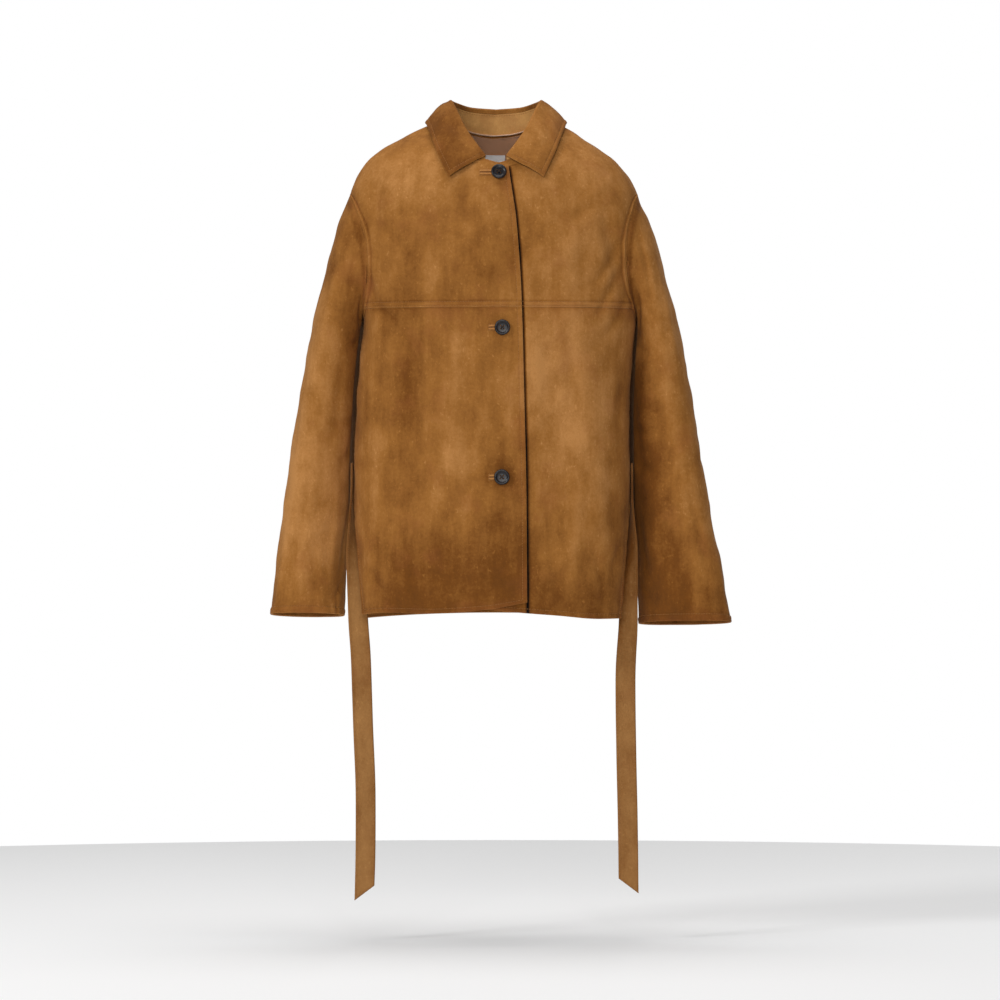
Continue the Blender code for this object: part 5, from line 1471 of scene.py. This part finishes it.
# A near-black suede for the painted shade inside each buttonhole's slit.
slit_shade_suede = suede("slit_shade_suede", (0.06, 0.022, 0.008), (0.035, 0.012, 0.005), (0.02, 0.007, 0.003),
                   (0.03, 0.01, 0.004))
for name, x, z, before in BUTTONS:
    end = x + BUTTONHOLE_PAST
    reach = np.linspace(x - before, end, 60)
    lip_pair = []
    for over in (-1, 1):
        sway = 0.18 * np.sin(reach / 2.7 + over)
        line, normals = on_right_front(reach, np.full_like(reach, z) + over * (LIP_APART + sway * 0.3), 0.55)
        lip_pair.append(tube(line, LIP_RADIUS, 12, normals))
    # A near-black sheet under the lips, painted as the slit's shade.
    slit, _ = on_right_front(*np.meshgrid(reach[2:-2], z + np.linspace(-1.3, 1.3, 3)), 0.6)
    size = slit[..., 0].size
    shade = add_mesh(f"buttonhole_slit_shade_{name}", slit, quads(*slit.shape[:2]).tolist(), slit_shade_suede,
                     (("tint", np.zeros(size)), ("edge", np.ones(size))))
    points, faces = together(lip_pair)
    lips = add_mesh(f"suede_buttonhole_{name}", points, faces, tan_suede,
                    (("tint", np.full(len(points), LIP_TONE)), ("edge", np.full(len(points), 0.5))))
    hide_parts(f"buttonhole_{name}")
    box_x = np.concatenate([reach, np.full(BOX_END, end), reach[::-1], np.full(BOX_END, reach[0])])
    box_side = np.full(len(reach), BOX_HALF)
    box_end = np.linspace(BOX_HALF, -BOX_HALF, BOX_END)
    box_z = np.concatenate([box_side, box_end, -box_side, -box_end])
    stitches(f"buttonhole_stitching_{name}", [on_right_front(box_x, box_z + z, 0.1)], pitch=2.6, length=2.0)

# ---------------------------------------------------------------- ties of the belt
# Two long flat strips with turned, stitched edges. Each is tacked into its side seam above the vent by a
# stitched box, hangs edge-on at first, turns to face the front, and ends in a slant.

TIE_WIDTH = 28.0
TIE_WALL = 2.2
TIE_FULL = 0.25             # height of the soft swells along a tie
TIE_SLANT = 21.0            # how much longer one edge of the end is
TIE_SLANT_RUN = 120.0
LEFT_TIE = (                # z, x, y, and degrees turned from facing the side to facing the front
    (-456, 189.9, 0, 0), (-500, 190.6, -4, 0), (-530, 190.4, -8, 10), (-560, 189.5, -9, 30),
    (-590, 187.5, -11, 48), (-620, 186, -12, 60), (-676, 184.8, -13, 70), (-760, 181, -13, 84),
    (-850, 182, -12, 90), (-985, 184.8, -10, 92), (-1048, 185.5, -9, 90),
)
RIGHT_TIE = (               # as above
    (-456, -201.9, 0, 0), (-500, -202.6, -4, 0), (-530, -202.0, -8, -10), (-560, -199.5, -9, -34),
    (-590, -197, -11, -58), (-630, -194.5, -12, -76), (-676, -192.5, -12, -84), (-728, -189, -13, -90),
    (-815, -186.2, -12, -90), (-930, -182.2, -10, -88), (-1000, -182.6, -9, -90), (-1058, -184, -8, -90),
)
# Distances of close columns and rows from a tie's edges and ends.
TIE_EDGE = (0, 0.4, 1.0, 1.6, 2.1, 2.6, 3.6, 6.0)
TIE_STITCH = 2.1            # from the edge, where the fifth column lies
TIE_FREE_Z = -520.0         # below here a tie hangs free and sways
TIE_SHADE = {               # across, z, half_across, half_z, amount
    "left": ((-14, -560, 16, 100, -0.9), (0, -540, 90, 90, -0.20)),
    "right": ((0, -540, 90, 60, -0.25),),
}
tie_suede = suede("tie_suede", (0.430, 0.215, 0.070), (0.310, 0.145, 0.044), TAN_DARK, (0.24, 0.095, 0.03),
                  0.9)
for owner, rows, side in (("left", LEFT_TIE, 1), ("right", RIGHT_TIE, -1)):
    z = np.concatenate([rows[0][0] - np.array(TIE_EDGE[:6]),
                        np.linspace(rows[0][0] - 4, rows[-1][0] + 4, 150),
                        rows[-1][0] + np.array(TIE_EDGE[5::-1])])
    knots, xs, ys, turns = (np.array(item) for item in zip(*rows[::-1]))
    x, y, turn = (smooth(z, knots, values) for values in (xs, ys, turns))
    hang = np.clip((TIE_FREE_Z - z) / 60, 0, 1)
    y = y + hang * (1.6 * np.sin(z / 34) + 0.9 * np.sin(z / 13 + 1))
    turn = np.radians(turn + hang * 2.5 * np.sin(z / 41 + side))
    across = np.stack([np.sin(turn), -np.cos(turn), np.zeros_like(z)], -1)
    out = side * np.stack([np.cos(turn), np.sin(turn), np.zeros_like(z)], -1)
    middle = np.linspace(TIE_EDGE[-1], TIE_WIDTH - TIE_EDGE[-1], 7)[1:-1]
    offsets = np.concatenate([TIE_EDGE, middle, TIE_WIDTH - np.array(TIE_EDGE[::-1])]) - TIE_WIDTH / 2
    points = np.stack([x, y, z], -1)[:, None] + offsets[None, :, None] * across[:, None]
    low = np.clip((rows[-1][0] + TIE_SLANT_RUN - z) / TIE_SLANT_RUN, 0, 1) ** 3
    points[..., 2] -= low[:, None] * offsets[None, :] / TIE_WIDTH * np.sign(across[-1, 0]) * side * TIE_SLANT
    normals = np.repeat(out[:, None], len(offsets), axis=1)
    from_edge = np.broadcast_to(TIE_WIDTH / 2 - np.abs(offsets), points.shape[:2])
    from_end = np.broadcast_to(np.minimum(z[0] - z, z - z[-1])[:, None], points.shape[:2])
    to_rim = np.minimum(from_edge, from_end)
    lift = -0.7 * rounded(to_rim, 1.1) - 0.35 * np.exp(-((to_rim - TIE_STITCH) / 0.5) ** 2)
    lift += TIE_FULL * np.sin(z / 9)[:, None] * np.cos(offsets / 6)[None, :] + unevenness(points, 0.3)
    outer = points + normals * (TIE_WALL / 2 + lift)[..., None]
    flat = np.stack(np.broadcast_arrays(offsets[None], -z[:, None]), -1)
    tie = wall_mesh(f"suede_belt_tie_{owner}", outer, quads(*points.shape[:2]), normals, tie_suede,
                    patches(offsets[None], z[:, None], TIE_SHADE[owner]), to_rim * 2 + 6, flat, TIE_WALL)
    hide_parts(f"belt_tie_{owner}")
    lines = []
    for face in (outer, outer - normals * TIE_WALL):
        facing_out = normals if face is outer else -normals
        for column in (4, len(offsets) - 5):
            lines.append((face[4:-4, column], facing_out[4:-4, column]))
        lines.append((face[-5, 4:-4], facing_out[-5, 4:-4]))
    box = outer[6:12, 6:-6]
    lines += [(box[0], normals[0, 6:-6]), (box[-1], normals[0, 6:-6]), (box[:, 0], normals[6:12, 6]),
              (box[:, -1], normals[6:12, 6])]
    sewing = stitches(f"tie_stitching_{owner}", lines, pitch=3.2, length=2.3, radius=0.3)

# ---------------------------------------------------------------- floor, light and camera
# The jacket hangs as if worn, its ties just clear of a round pale floor, before a white surround. The light
# is soft and comes from the upper left, the front, overhead and behind.

FLOOR_Z = -1.125
FLOOR_RADIUS = 2.3


def plain_material(name, colour, roughness):
    """Matt paint with a faint unevenness in its roughness."""
    material, tree, shader = new_material(name, Base_Color=(*colour, 1), Specular_IOR_Level=0.1)
    cloud = node(tree, "ShaderNodeTexNoise", in_Scale=3.0)
    link(tree, (added(tree, roughness, (cloud.outputs["Fac"], 0.1)), shader.inputs["Roughness"]))
    return material


FLOOR_SIDES = 96
FLOOR_RINGS = 4
turn = np.linspace(0, 2 * math.pi, FLOOR_SIDES, endpoint=False)
out_to = np.linspace(0.25, 1, FLOOR_RINGS)[:, None] * FLOOR_RADIUS
floor_points = np.stack([out_to * np.cos(turn), out_to * np.sin(turn),
                         np.full((FLOOR_RINGS, FLOOR_SIDES), FLOOR_Z)], -1)
floor_faces = quads(FLOOR_RINGS, FLOOR_SIDES, closed=True)[:, ::-1].tolist() + [list(range(FLOOR_SIDES))]
floor_mesh = bpy.data.meshes.new("floor")
floor_mesh.from_pydata(floor_points.reshape(-1, 3).tolist(), [], floor_faces)
floor_mesh.shade_smooth()
floor_mesh.materials.append(plain_material("pale_floor", (0.93, 0.93, 0.93), 0.85))
floor = bpy.data.objects.new("floor", floor_mesh)
bpy.context.scene.collection.objects.link(floor)

TARGET = (0.0056, 0.0, -0.508)
CAMERA_DISTANCE = 7.78
SEEN_WHITE = 0.82           # added to the surround's light where the camera sees it
SURROUND = 0.18


def pointed_at(item, place, target):
    """Place a light or a camera and turn it to look at a point."""
    item.location = place
    item.rotation_euler = (Vector(target) - Vector(place)).to_track_quat("-Z", "Y").to_euler()
    bpy.context.scene.collection.objects.link(item)


def area_light(name, place, target, size, power):
    """A white rectangular lamp of so many metres and watts, aimed at a point."""
    lamp = bpy.data.lights.new(name, "AREA")
    lamp.shape = "RECTANGLE"
    lamp.size, lamp.size_y = size
    lamp.energy = power
    pointed_at(bpy.data.objects.new(name, lamp), place, target)


area_light("key", (-3.6, -3.4, 2.5), (0, 0, -0.35), (1.3, 1.3), 105)
area_light("front", (-0.4, -6.5, 1.2), (0, 0, -0.5), (2.4, 2.4), 165)
area_light("overhead", (0, 0.2, 3.6), (0, 0, -1.1), (3.4, 3.4), 115)
area_light("rear", (1.8, 6.0, 1.6), (0, 0, -0.5), (2.6, 2.6), 60)
world = bpy.data.worlds.new("studio")
world.use_nodes = True
tree = world.node_tree
tree.nodes["Background"].inputs["Color"].default_value = (1, 1, 1, 1)
seen = node(tree, "ShaderNodeLightPath").outputs["Is Camera Ray"]
link(tree, (added(tree, SURROUND, (seen, SEEN_WHITE)), tree.nodes["Background"].inputs["Strength"]))
bpy.context.scene.world = world
bpy.context.scene.view_settings.view_transform = "Standard"

lens = bpy.data.cameras.new("camera")
lens.lens, lens.sensor_width = 200, 36
camera = bpy.data.objects.new("camera", lens)
pointed_at(camera, (TARGET[0], -CAMERA_DISTANCE, TARGET[2]), TARGET)
bpy.context.scene.camera = camera
